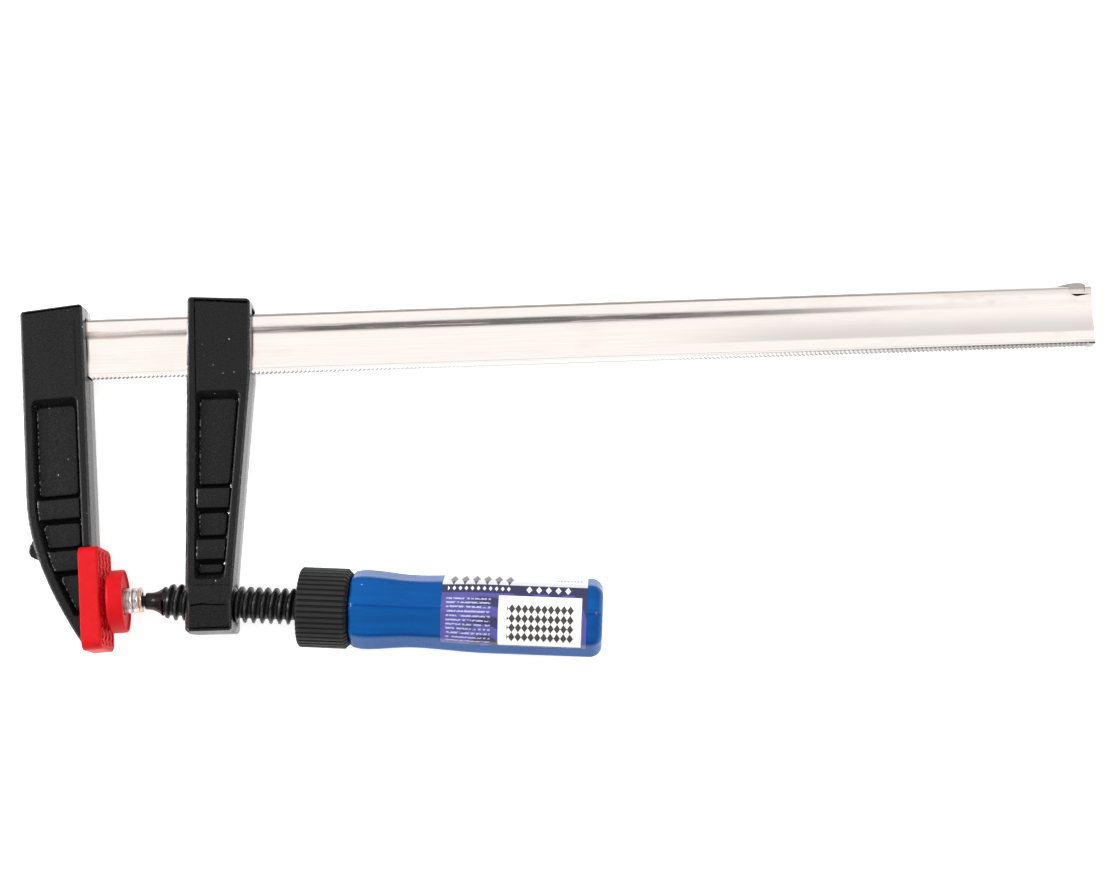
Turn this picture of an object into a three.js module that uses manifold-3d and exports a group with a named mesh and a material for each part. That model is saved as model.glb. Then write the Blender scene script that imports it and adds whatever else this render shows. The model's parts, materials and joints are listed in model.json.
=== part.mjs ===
// Sliding-arm screw clamp, lying on its side with its two pads closed.
// Millimetres. The rail runs along +X, both arms reach towards -Y, and +Z is up.
// While it is drawn, X = 0, Y = 0 is where the rail's middle line leaves the fixed arm's face,
// and Z = 0 is the parting plane of the castings. At the end the whole clamp is set down
// with its origin under the middle of its box, at the height of the surface it lies on.

import * as THREE from 'three';
import { mergeVertices } from 'three/addons/utils/BufferGeometryUtils.js';
import Module from 'manifold-3d';

const wasm = await Module();
wasm.setup();

// Fits and cutting
const SEAT_GAP = 0.3;          // between pieces that are fixed together
const RUNNING_GAP = 0.15;      // between round pieces that turn or swivel in one another
const OVERRUN = 2;             // how far a cutter reaches past what it cuts

// Rail: a flat bar with a shallow channel rolled into each side and a toothed lower edge
const RAIL_HEIGHT = 21;
const RAIL_THICKNESS = 5.5;
const RAIL_END = 354.5;        // from the fixed arm's face to the free end
const RAIL_SUNK = 19;          // length held inside the fixed arm's head
const CHANNEL_DEPTH = 0.9;
const CHANNEL_RUN = 1.6;       // width of the sloped side of the channel
const TOP_LAND = 4.2;
const LOWER_LAND = 4.5;
const TOOTH_PITCH = 1.5;
const TOOTH_DEPTH = 0.5;
const RAIL_EDGE = 0.7;         // broken top corner of the section

// Stop: the rail's top corner is punched near the free end, which swells it
const STOP_FROM_END = 5;       // from the free end to the middle of the punch mark
const STOP_RAMP = 7;           // length over which the rail's top rises to the stop
const STOP_RISE = 1.2;
const PUNCH_RADIUS = 2.9;
const PUNCH_DROP = 0.9;        // centre of the punch mark below the rail's top
const PUNCH_DEPTH = 0.7;
const STOP_LAND = 1.7;         // plain top between the stop and the free end

// Castings
const ARM_THICKNESS = 13;
const DRAFT = 0.35;            // each casting swells by this from its flat face to its parting plane
const FLASH = 0.6;             // narrow upright band along the parting plane
const CAST_EDGE = 0.7;         // broken edge round each flat face
const POCKET_DEPTH = 4;
const POCKET_SIDE_RUN = 0.9;   // how far the pocket's side walls lean in
const POCKET_END_RUN = 2.3;
const POCKET_CORNER = 2;
const POCKET_TIP = 4.4;        // least width of a pocket that runs to a point
const RIM = 3;                 // flat rim left round a pocket
const RIB_HALF_WIDTH = 3.3;
const RIB_BELOW_FACE = 0.5;    // crest of a cross rib under the arm's flat face
const RIB_FALL = 0.3;          // from a rib's crest to its shoulders
const RIB_RUN = 0.5;           // how far a rib widens down to the pocket's floor
const RIB_INSET = 0.75;        // from the pocket's mouth at both ends of a rib
const PANEL_BELOW_FACE = 2.5;  // raised panels fill the pocket's floor between the ribs
const PANEL_INSET = 1.35;      // from the pocket's mouth on its sides
const PANEL_END_INSET = 2.75;  // from the pocket's mouth at its ends
const PANEL_FROM_RIB = 5.1;    // from a rib's crest
const PANEL_RUN = 0.2;         // how far a panel widens down to the pocket's floor
const PANEL_CORNER = 1.3;
const CORNER_SHARE = 1 / 3;    // most of a short edge that a panel's corner may take

// Fixed arm, in its own leaning frame: its clamping edge is the line x = 0
const ARM_LEAN = THREE.MathUtils.degToRad(3.2);
const ARM_WIDTH = 22.1;
const HEAD_TOP_FRONT = 15.5;
const HEAD_TOP_BACK = 14.4;
const ARM_TIP = 104.9;         // how far the tip lies below the rail's middle line
const TIP_WIDTH = 4.4;
const TIP_THICKNESS = 12;      // the flat sides are stepped in where the soft cap lies over them
const BACK_BEND = 52.6;         // where the arm's back starts to curve in
const BACK_SLANT = THREE.MathUtils.degToRad(31);
const FIXED_POCKET_TOP = 18;
const FIXED_RIBS = [57.3, 75.5];
const LUG_RADIUS = 3.1;
const LUG_BACK = 19.2;         // its centre behind the clamping edge
const LUG_DROP = 70.8;         // its centre below the rail's middle line
const LUG_THICKNESS = 9;
const LUG_TURN = THREE.MathUtils.degToRad(20);    // it points down from straight back by this
const LUG_FLANK = THREE.MathUtils.degToRad(40);   // between its middle line and either flank
const LUG_ROOT = 9;            // length of a flank, most of it inside the arm

// Soft cap pushed over the fixed arm's tip
const CAP_TOP = 71.4;
const CAP_REACH_BACK = 4;     // how far its side walls reach behind the clamping edge
const CAP_FRONT_WALL = 2.5;
const CAP_BOTTOM_WALL = 1.8;
const CAP_CORNER = 3.2;
const CAP_SIDE_WALL = 3.45;
const CAP_EDGE = 0.5;

// Sliding arm
const SLIDE_BACK = 36.5;       // its edge on the pad's side, from the fixed arm's face
const SLIDE_HEAD_WIDTH = 22.2;
const SLIDE_FOOT_WIDTH = 16.3;
const SLIDE_TOP = 16;
const SLIDE_TAPER_START = 13;
const SLIDE_TAPER_END = 86;
const SLIDE_BOTTOM = 101.7;
const HEAD_CORNER = 1.4;
const FOOT_CORNER = 1.2;
const SLIDE_POCKET_TOP = 17.6;
const SLIDE_POCKET_BOTTOM = 84;
const SLIDE_RIBS = [55.5, 73.4];
const BOSS_TOP = 85;           // the foot swells into a ridged boss round the spindle
const BOSS_RIDGE = 91.6;
const BOSS_RIDGE_HALF = 9.1;
const BOSS_LOW_HALF = 8.1;
const BOSS_LOW_EDGE = 0.8;
const BOSS_SETBACK = 1;        // from the arm's edge on the pad's side
const SLOT_HEADROOM = 2.1;     // room above the rail, in which the arm rocks to grip
const SLOT_PLAY = 0.3;
const COUNTERSINK = 1.1;

// Spindle: it slopes down towards the handle, and every axial size is from the ball's centre
const SPINDLE_SLOPE = THREE.MathUtils.degToRad(3.95);
const BALL_ALONG = 17.2;       // ball centre from the fixed arm's face, along the rail
const BALL_REACH = 89.7;       // ball centre below the rail's middle line
const BALL_RADIUS = 2.7;
const BALL_NECK_RADIUS = 1.9;
const SHOULDER = 4.6;
const NECK_RADIUS = 2.95;
const FLARE_START = 5.8;
const FLARE_END = 11;
const FLARE_RADIUS = 5.2;
const THREAD_RADIUS = 6.3;     // outside radius of the screw
const THREAD_RUNOUT = 3;       // length over which the screw grows to its full radius
const COLLAR_START = 58.3;
const COLLAR_LENGTH = 17.5;
const TANG_RADIUS = 5;
const TANG_ACROSS_FLATS = 7.6;
const TANG_END = 131.5;

// Ring in the swivel joint, between the ball and the pad's socket
const RING_WALL = 0.6;
const RING_FRONT = 1.6;
const RING_BACK = 1.9;

// Swivelling pressure pad: steel plate with a rolled socket, and its soft cap
const PAD_GAP = 1.6;           // between the middles of the two soft faces as the clamp is stored
const PAD_TURN = THREE.MathUtils.degToRad(5.2);
const PAD_RADIUS = 10.9;
const PAD_LENGTH = 5.6;
const PAD_FRONT_WALL = 2;
const PAD_SIDE_WALL = 1.4;
const PAD_LIP = 1;
const PAD_LIP_RADIUS = 7.4;
const PAD_ROUND = 0.9;
const PAD_BACK_TAPER = 0.7;
const PLATE_THICKNESS = 2;
const SOCKET_RADIUS_OUT = 4.4;
const SOCKET_END = 3.3;        // rim of the socket behind the ball's centre
const SOCKET_MOUTH = 2.75;
const SOCKET_EDGE = 0.45;
const BEAD_GROOVE = 0.3;
const BEAD_WIDTH = 1;
const BEADS = [-0.6, 1.5];     // the two rolled grooves, behind the ball's centre

// Ribbed collar
const COLLAR_RADIUS = 13.8;
const COLLAR_RIBS = 44;
const RIB_GROOVE = 0.5;
const COLLAR_NEAR_BEVEL = 0.6;
const COLLAR_FAR_BEVEL = 1.4;
const RIB_TOP_SHARE = 0.55;    // share of the rib pitch taken by its flat top
const RIB_FLANK_SHARE = 0.12;

// Handle: eight soft facets, drawn in behind its front swell
const HANDLE_LENGTH = 86.4;
const HANDLE_FRONT_RADIUS = 13.1;
const HANDLE_SWELL_RADIUS = 13.7;
const HANDLE_WAIST_RADIUS = 12.5;
const HANDLE_REAR_RADIUS = 13.5;
const HANDLE_SWELL_AT = 4.5;   // these three are distances from the handle's front end
const HANDLE_WAIST_AT = 22;
const HANDLE_FULL_AT = 47;
const HANDLE_FRONT_ROUND = 1.6;
const HANDLE_REAR_ROUND = 4.2;
const HANDLE_FACETS = 8;
const FACET_DIP_SHARE = 0.05;  // how much nearer the axis the middle of a facet lies
const FACET_TURN = THREE.MathUtils.degToRad(5);

// Points on curves
const ROUND = 40;
const HANDLE_POINTS = 48;
const CORNER_STEPS = 4;
const BACK_STEPS = 14;
const BALL_STEPS = 8;
const HANDLE_STEPS = 14;

// Finishes
const FINISH = {
  rail: { color: 0xd9d4cf, roughness: 0.32, metalness: 0.9 },
  casting: { color: 0x2b2b2d, roughness: 0.55, metalness: 0.2 },
  screw: { color: 0x242426, roughness: 0.42, metalness: 0.6 },
  plated: { color: 0xc9c9c6, roughness: 0.22, metalness: 1 },
  softRed: { color: 0xd8141f, roughness: 0.45, metalness: 0 },
  collar: { color: 0x2d2c2b, roughness: 0.6, metalness: 0.1 },
  handle: { color: 0x1b5aa8, roughness: 0.18, metalness: 0 },
};

// Helpers

// A closed geometry as a solid that can be joined and cut.
function solid(geometry) {
  const bare = geometry.clone();
  bare.deleteAttribute('normal');
  bare.deleteAttribute('uv');
  const merged = mergeVertices(bare);
  const corners = merged.index.array;
  const kept = [];
  for (let i = 0; i < corners.length; i += 3) {
    const [a, b, c] = [corners[i], corners[i + 1], corners[i + 2]];
    if (a !== b && b !== c && c !== a) kept.push(a, b, c);
  }
  const vertProperties = new Float32Array(merged.attributes.position.array);
  return new wasm.Manifold(new wasm.Mesh({ numProp: 3, vertProperties, triVerts: new Uint32Array(kept) }));
}

// A named mesh from a solid.
function piece(name, shape, finish) {
  const cut = shape.getMesh();
  const geometry = new THREE.BufferGeometry();
  geometry.setAttribute('position', new THREE.BufferAttribute(cut.vertProperties, 3));
  geometry.setIndex(new THREE.BufferAttribute(cut.triVerts, 1));
  geometry.computeVertexNormals();
  const mesh = new THREE.Mesh(geometry, new THREE.MeshStandardMaterial(finish));
  mesh.name = name;
  return mesh;
}

// A block between two corners.
function block(low, high) {
  const size = new THREE.Vector3().subVectors(high, low);
  const middle = new THREE.Vector3().addVectors(low, high).multiplyScalar(1 / 2);
  return new THREE.BoxGeometry(size.x, size.y, size.z).translate(middle.x, middle.y, middle.z);
}

// A round solid about the X axis; the profile lists [x, radius] and starts and ends on the axis.
function turned(profile, segments = ROUND) {
  const points = profile.map(([along, radius]) => new THREE.Vector2(radius, along));
  return new THREE.LatheGeometry(points, segments).rotateZ(-Math.PI / 2);
}

// A solid through flat rings stacked along Z, each with the same number of points.
function loft(rings) {
  const count = rings[0].points.length;
  const positions = rings.flatMap(({ z, points }) => points.flatMap((p) => [p.x, p.y, z]));
  const corners = [];
  for (let r = 0; r + 1 < rings.length; r += 1) {
    for (let i = 0; i < count; i += 1) {
      const here = r * count + i;
      const next = r * count + (i + 1) % count;
      corners.push(here, next, next + count, here, next + count, here + count);
    }
  }
  const last = (rings.length - 1) * count;
  for (const [a, b, c] of THREE.ShapeUtils.triangulateShape(rings[0].points.slice(), [])) {
    corners.push(c, b, a);
  }
  for (const [a, b, c] of THREE.ShapeUtils.triangulateShape(rings.at(-1).points.slice(), [])) {
    corners.push(last + a, last + b, last + c);
  }
  const geometry = new THREE.BufferGeometry();
  geometry.setAttribute('position', new THREE.Float32BufferAttribute(positions, 3));
  geometry.setIndex(corners);
  return geometry;
}

// An outline, counter-clockwise, with each corner [x, y, radius] rounded by an arc.
function outline(corners) {
  const points = [];
  corners.forEach(([x, y, radius], i) => {
    const here = new THREE.Vector2(x, y);
    if (!radius) {
      points.push(here);
      return;
    }
    const before = new THREE.Vector2(...corners.at(i - 1)).sub(here).normalize();
    const after = new THREE.Vector2(...corners[(i + 1) % corners.length]).sub(here).normalize();
    const half = Math.acos(before.dot(after)) / 2;
    const centre = before.clone().add(after).normalize().multiplyScalar(radius / Math.sin(half)).add(here);
    const start = before.clone().multiplyScalar(radius / Math.tan(half)).add(here).sub(centre);
    const turn = (Math.PI - 2 * half) * Math.sign(after.cross(before));
    for (let k = 0; k <= CORNER_STEPS; k += 1) {
      points.push(start.clone().rotateAround(new THREE.Vector2(), turn * k / CORNER_STEPS).add(centre));
    }
  });
  return points;
}

// The same outline moved outwards by a distance, or inwards if it is negative.
function grown(points, distance) {
  return points.map((here, i) => {
    const before = here.clone().sub(points.at(i - 1)).normalize();
    const after = points[(i + 1) % points.length].clone().sub(here).normalize();
    const across = new THREE.Vector2(before.y + after.y, -before.x - after.x);
    return across.multiplyScalar(distance / (1 + before.dot(after))).add(here);
  });
}

// A casting from its flat faces' outline: it swells to the parting plane and has broken edges.
function casting(points) {
  const face = ARM_THICKNESS / 2;
  const levels = [[face, -CAST_EDGE], [face - CAST_EDGE, 0], [FLASH / 2, DRAFT]];
  const upper = levels.map(([z, grow]) => ({ z, points: grown(points, grow) }));
  const lower = upper.map(({ z, points: ring }) => ({ z: -z, points: ring }));
  return loft([...lower, ...upper.reverse()]);
}

// The lowest and highest x at which an outline crosses the line at a height y.
function spanAt(points, y) {
  const crossings = points.flatMap((here, i) => {
    const next = points[(i + 1) % points.length];
    if ((here.y > y) === (next.y > y)) return [];
    return [THREE.MathUtils.mapLinear(y, here.y, next.y, here.x, next.x)];
  });
  return [Math.min(...crossings), Math.max(...crossings)];
}

// The raised panels between a pocket's ends and its ribs, each a flat plateau with drafted sides.
function panels(mouth, high, low, ribs) {
  const top = ARM_THICKNESS / 2 - PANEL_BELOW_FACE;
  const root = ARM_THICKNESS / 2 - POCKET_DEPTH - OVERRUN;
  const run = PANEL_RUN * (top - root) / (POCKET_DEPTH - PANEL_BELOW_FACE);
  const starts = [high - PANEL_END_INSET, ...ribs.map((place) => -place - PANEL_FROM_RIB)];
  const ends = [...ribs.map((place) => -place + PANEL_FROM_RIB), low + PANEL_END_INSET];
  return starts.flatMap((upper, i) => {
    const lower = ends[i];
    const [upperLeft, upperRight] = spanAt(mouth, upper);
    const [lowerLeft, lowerRight] = spanAt(mouth, lower);
    const narrow = Math.min(upperRight - upperLeft, lowerRight - lowerLeft) - 2 * PANEL_INSET;
    const corner = Math.min(PANEL_CORNER, narrow * CORNER_SHARE, (upper - lower) * CORNER_SHARE);
    if (!(corner > PANEL_RUN)) return [];
    const points = outline([
      [upperRight - PANEL_INSET, upper, corner],
      [upperLeft + PANEL_INSET, upper, corner],
      [lowerLeft + PANEL_INSET, lower, corner],
      [lowerRight - PANEL_INSET, lower, corner],
    ]);
    return [solid(loft([{ z: root, points: grown(points, run) }, { z: top, points }]))];
  });
}

// A cross rib: a bar with a low crest and steep flanks, whose ends stand clear of the pocket's walls.
function crossRib(mouth, place) {
  const crest = ARM_THICKNESS / 2 - RIB_BELOW_FACE;
  const shoulder = crest - RIB_FALL;
  const root = ARM_THICKNESS / 2 - POCKET_DEPTH - OVERRUN;
  const foot = RIB_HALF_WIDTH + RIB_RUN;
  const section = new THREE.Shape([
    new THREE.Vector2(-place - foot, root),
    new THREE.Vector2(-place + foot, root),
    new THREE.Vector2(-place + RIB_HALF_WIDTH, shoulder),
    new THREE.Vector2(-place, crest),
    new THREE.Vector2(-place - RIB_HALF_WIDTH, shoulder),
  ]);
  const ends = mouth.map((p) => p.x);
  const start = Math.min(...ends);
  const bar = new THREE.ExtrudeGeometry(section, { depth: Math.max(...ends) - start, bevelEnabled: false });
  bar.applyMatrix4(new THREE.Matrix4().makeBasis(
    new THREE.Vector3(0, 1, 0), new THREE.Vector3(0, 0, 1), new THREE.Vector3(1, 0, 0)));
  const points = grown(mouth, -RIB_INSET);
  const between = loft([{ z: root - OVERRUN, points }, { z: crest + OVERRUN, points }]);
  return solid(bar.translate(start, 0, 0)).intersect(solid(between));
}

// What a pocket takes out of the upper face: sloped walls round raised panels and cross ribs.
function pocket(mouth, high, low, ribs) {
  const face = ARM_THICKNESS / 2;
  const climb = OVERRUN / POCKET_DEPTH;
  const bottom = grown(mouth, -POCKET_SIDE_RUN);
  const deepest = low + POCKET_END_RUN;
  for (const p of bottom) p.y = THREE.MathUtils.clamp(p.y, deepest, high - POCKET_END_RUN);
  const above = mouth.map((p, i) => p.clone().lerp(bottom[i], -climb));
  let space = solid(loft([
    { z: face - POCKET_DEPTH, points: bottom },
    { z: face + OVERRUN, points: above },
  ]));
  for (const place of ribs) space = space.subtract(crossRib(mouth, place));
  for (const panel of panels(mouth, high, low, ribs)) space = space.subtract(panel);
  return space;
}

// The same cut in both faces of an arm.
function pocketed(shape, space) {
  return shape.subtract(space).subtract(space.mirror([0, 0, 1]));
}

// Frames

// The fixed arm leans; its own frame sits where the rail's middle line leaves its clamping edge.
const armFrame = new THREE.Matrix4().makeRotationZ(ARM_LEAN);

// The spindle's frame: X runs along its axis from the ball's centre to the handle.
const ballCentre = new THREE.Vector3(BALL_ALONG, -BALL_REACH, 0);
const spindleFrame = new THREE.Matrix4().makeRotationZ(-SPINDLE_SLOPE).setPosition(ballCentre);

// The pad's frame: the same centre, leaning as the fixed arm does, and turned about its own upright.
const padFrame = new THREE.Matrix4().makeRotationZ(ARM_LEAN)
  .multiply(new THREE.Matrix4().makeRotationY(PAD_TURN))
  .setPosition(ballCentre);

// Distance from the ball's centre to the fixed cap's face, and where the pad's front lies from it.
const ballToCap = ballCentre.clone().applyMatrix4(armFrame.clone().invert()).x - CAP_FRONT_WALL - SEAT_GAP;
const padFront = (PAD_GAP - ballToCap) / Math.cos(PAD_TURN);

// Sub-parts

// One side of the rail's channel: a long shallow cut with sloped sides, open at both ends.
function channelCut() {
  const face = RAIL_THICKNESS / 2;
  const top = RAIL_HEIGHT / 2 - TOP_LAND;
  const bottom = -RAIL_HEIGHT / 2 + LOWER_LAND;
  const climb = CHANNEL_RUN * OVERRUN / CHANNEL_DEPTH;
  const section = new THREE.Shape([
    new THREE.Vector2(bottom + CHANNEL_RUN, face - CHANNEL_DEPTH),
    new THREE.Vector2(top - CHANNEL_RUN, face - CHANNEL_DEPTH),
    new THREE.Vector2(top + climb, face + OVERRUN),
    new THREE.Vector2(bottom - climb, face + OVERRUN),
  ]);
  return alongRail(section);
}

// A strip that breaks the rail's top corner.
function cornerCut() {
  const face = RAIL_THICKNESS / 2;
  const top = RAIL_HEIGHT / 2;
  const section = new THREE.Shape([
    new THREE.Vector2(top - RAIL_EDGE, face),
    new THREE.Vector2(top, face - RAIL_EDGE),
    new THREE.Vector2(top + OVERRUN, face - RAIL_EDGE),
    new THREE.Vector2(top + OVERRUN, face + OVERRUN),
    new THREE.Vector2(top - RAIL_EDGE, face + OVERRUN),
  ]);
  return alongRail(section);
}

// A cutter with a section drawn in Y and Z that runs past both ends of the rail.
function alongRail(section) {
  const length = RAIL_END + RAIL_SUNK + 2 * OVERRUN;
  const strip = new THREE.ExtrudeGeometry(section, { depth: length, bevelEnabled: false });
  strip.applyMatrix4(new THREE.Matrix4().makeBasis(
    new THREE.Vector3(0, 1, 0), new THREE.Vector3(0, 0, 1), new THREE.Vector3(1, 0, 0)));
  return solid(strip.translate(-RAIL_SUNK - OVERRUN, 0, 0));
}

// The rail's side view: teeth along the lower edge from the arm's face on, and the swollen stop on top.
function railSide() {
  const top = RAIL_HEIGHT / 2;
  const bottom = -top;
  const stop = RAIL_END - STOP_FROM_END;
  const side = new THREE.Shape();
  side.moveTo(-RAIL_SUNK, bottom);
  const teeth = Math.floor((RAIL_END - TOOTH_PITCH) / TOOTH_PITCH);
  for (let i = 0; i < teeth; i += 1) {
    side.lineTo((i + 1 / 2) * TOOTH_PITCH, bottom + TOOTH_DEPTH);
    side.lineTo((i + 1) * TOOTH_PITCH, bottom);
  }
  side.lineTo(RAIL_END, bottom);
  side.lineTo(RAIL_END, top);
  side.lineTo(RAIL_END - STOP_LAND, top);
  side.quadraticCurveTo(stop + PUNCH_RADIUS, top + STOP_RISE, stop, top + STOP_RISE);
  side.quadraticCurveTo(stop - PUNCH_RADIUS, top + STOP_RISE, stop - STOP_RAMP, top);
  side.lineTo(-RAIL_SUNK, top);
  side.closePath();
  return side;
}

function rail() {
  const face = RAIL_THICKNESS / 2;
  const bar = new THREE.ExtrudeGeometry(railSide(), {
    depth: RAIL_THICKNESS, bevelEnabled: false, curveSegments: CORNER_STEPS,
  }).translate(0, 0, -face);
  const punch = new THREE.CylinderGeometry(PUNCH_RADIUS, PUNCH_RADIUS, PUNCH_DEPTH + OVERRUN, ROUND)
    .rotateX(Math.PI / 2)
    .translate(
      RAIL_END - STOP_FROM_END, RAIL_HEIGHT / 2 - PUNCH_DROP, face - (PUNCH_DEPTH - OVERRUN) / 2);
  const channel = channelCut();
  const corner = cornerCut();
  return solid(bar)
    .subtract(channel)
    .subtract(channel.mirror([0, 0, 1]))
    .subtract(corner)
    .subtract(corner.mirror([0, 0, 1]))
    .subtract(solid(punch));
}

// Points down the fixed arm's back, from the bend to the tip, at a distance inside it.
function backCurve(inside) {
  const tip = new THREE.Vector2(-TIP_WIDTH, -ARM_TIP);
  const start = new THREE.Vector2(-ARM_WIDTH, -BACK_BEND);
  const turn = new THREE.Vector2(start.x, tip.y + (tip.x - start.x) / Math.tan(BACK_SLANT));
  const curve = new THREE.QuadraticBezierCurve(start, turn, tip);
  return Array.from({ length: BACK_STEPS + 1 }, (unused, i) => {
    const share = i / BACK_STEPS;
    const along = curve.getTangent(share);
    return curve.getPoint(share).add(new THREE.Vector2(-along.y, along.x).multiplyScalar(inside));
  });
}

// The fixed arm's pocket follows its back and its clamping edge, a rim inside them; under the
// soft cap the rim is halved, so that the pocket can run on towards the tip.
function fixedPocket() {
  const thin = -RIM / 2;
  const back = backCurve(RIM).filter((p) => p.x < thin - POCKET_TIP);
  const end = back.at(-1).y;
  const mouth = outline([
    [-RIM, -FIXED_POCKET_TOP, POCKET_CORNER],
    [-ARM_WIDTH + RIM, -FIXED_POCKET_TOP, POCKET_CORNER],
    ...back.map((p) => [p.x, p.y, 0]),
    [thin, end, 0],
    [-RIM, -CAP_TOP, 0],
  ]);
  return pocket(mouth, -FIXED_POCKET_TOP, end, FIXED_RIBS);
}

// The step in each flat side of the tip, and the square front and end that the cap covers.
function capSeat() {
  const top = -CAP_TOP + SEAT_GAP;
  const past = ARM_TIP + DRAFT + OVERRUN;
  const side = solid(block(
    new THREE.Vector3(-CAP_REACH_BACK - SEAT_GAP, -past, TIP_THICKNESS / 2),
    new THREE.Vector3(DRAFT + OVERRUN, top, ARM_THICKNESS / 2 + OVERRUN)));
  const front = block(
    new THREE.Vector3(0, -past, -ARM_THICKNESS),
    new THREE.Vector3(DRAFT + OVERRUN, top, ARM_THICKNESS));
  const end = block(
    new THREE.Vector3(-ARM_WIDTH, -past, -ARM_THICKNESS),
    new THREE.Vector3(OVERRUN, -ARM_TIP, ARM_THICKNESS));
  return side.add(side.mirror([0, 0, 1])).add(solid(front)).add(solid(end));
}

// The lug on the arm's back: a round point whose flanks run into the back edge.
function lug() {
  const from = (start, angle, length) => new THREE.Vector2(
    start.x + length * Math.cos(angle), start.y + length * Math.sin(angle));
  const centre = new THREE.Vector2(-LUG_BACK, -LUG_DROP);
  const tip = from(centre, LUG_TURN, -LUG_RADIUS / Math.sin(LUG_FLANK));
  const above = from(tip, LUG_TURN + LUG_FLANK, LUG_ROOT);
  const below = from(tip, LUG_TURN - LUG_FLANK, LUG_ROOT);
  const points = outline([[above.x, above.y, 0], [tip.x, tip.y, LUG_RADIUS], [below.x, below.y, 0]]);
  return loft([{ z: -LUG_THICKNESS / 2, points }, { z: LUG_THICKNESS / 2, points }]);
}

function fixedArm() {
  const points = outline([
    [0, HEAD_TOP_FRONT, HEAD_CORNER],
    [-ARM_WIDTH, HEAD_TOP_BACK, HEAD_CORNER],
    ...backCurve(0).map((p) => [p.x, p.y, 0]),
    [0, -ARM_TIP, FOOT_CORNER],
  ]);
  const socket = block(
    new THREE.Vector3(-RAIL_SUNK - SEAT_GAP, -RAIL_HEIGHT / 2 - SEAT_GAP, -RAIL_THICKNESS / 2 - SEAT_GAP),
    new THREE.Vector3(OVERRUN + ARM_WIDTH, RAIL_HEIGHT / 2 + SEAT_GAP, RAIL_THICKNESS / 2 + SEAT_GAP));
  return pocketed(solid(casting(points)), fixedPocket())
    .add(solid(lug()))
    .subtract(capSeat())
    .transform(armFrame.toArray())
    .subtract(solid(socket));
}

// The soft cap is a tray over the tip: a clamping wall, a bottom wall and two side walls.
function fixedPadCap() {
  const inside = TIP_THICKNESS / 2 + SEAT_GAP;
  const half = inside + CAP_SIDE_WALL;
  const floor = -ARM_TIP - SEAT_GAP;
  const low = floor - CAP_BOTTOM_WALL;
  const face = outline([
    [half, low, CAP_CORNER],
    [half, -CAP_TOP, CAP_CORNER],
    [-half, -CAP_TOP, CAP_CORNER],
    [-half, low, CAP_CORNER],
  ]);
  const front = CAP_FRONT_WALL + SEAT_GAP;
  const shell = loft([
    { z: -CAP_REACH_BACK, points: face },
    { z: front - CAP_EDGE, points: face },
    { z: front, points: grown(face, -CAP_EDGE) },
  ]).applyMatrix4(new THREE.Matrix4().makeBasis(
    new THREE.Vector3(0, 0, -1), new THREE.Vector3(0, 1, 0), new THREE.Vector3(1, 0, 0)));
  const room = block(
    new THREE.Vector3(-CAP_REACH_BACK - OVERRUN, floor, -inside),
    new THREE.Vector3(SEAT_GAP, -CAP_TOP + OVERRUN, inside));
  return solid(shell).subtract(solid(room)).transform(armFrame.toArray());
}

// The boss round the spindle: its flat sides rise to a ridge at the spindle's height.
function footBoss() {
  const section = [
    new THREE.Vector2(-BOSS_TOP, ARM_THICKNESS / 2 - CAST_EDGE),
    new THREE.Vector2(-BOSS_TOP, -ARM_THICKNESS / 2 + CAST_EDGE),
    new THREE.Vector2(-BOSS_RIDGE, -BOSS_RIDGE_HALF),
    new THREE.Vector2(-SLIDE_BOTTOM + BOSS_LOW_EDGE, -BOSS_LOW_HALF),
    new THREE.Vector2(-SLIDE_BOTTOM, -BOSS_LOW_HALF + BOSS_LOW_EDGE),
    new THREE.Vector2(-SLIDE_BOTTOM, BOSS_LOW_HALF - BOSS_LOW_EDGE),
    new THREE.Vector2(-SLIDE_BOTTOM + BOSS_LOW_EDGE, BOSS_LOW_HALF),
    new THREE.Vector2(-BOSS_RIDGE, BOSS_RIDGE_HALF),
  ].reverse();
  const near = SLIDE_BACK + BOSS_SETBACK;
  const far = SLIDE_BACK + SLIDE_FOOT_WIDTH;
  return loft([
    { z: near, points: grown(section, -CAST_EDGE) },
    { z: near + CAST_EDGE, points: section },
    { z: far - CAST_EDGE, points: section },
    { z: far, points: grown(section, -CAST_EDGE) },
  ]).applyMatrix4(new THREE.Matrix4().makeBasis(
    new THREE.Vector3(0, 1, 0), new THREE.Vector3(0, 0, 1), new THREE.Vector3(1, 0, 0)));
}

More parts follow.
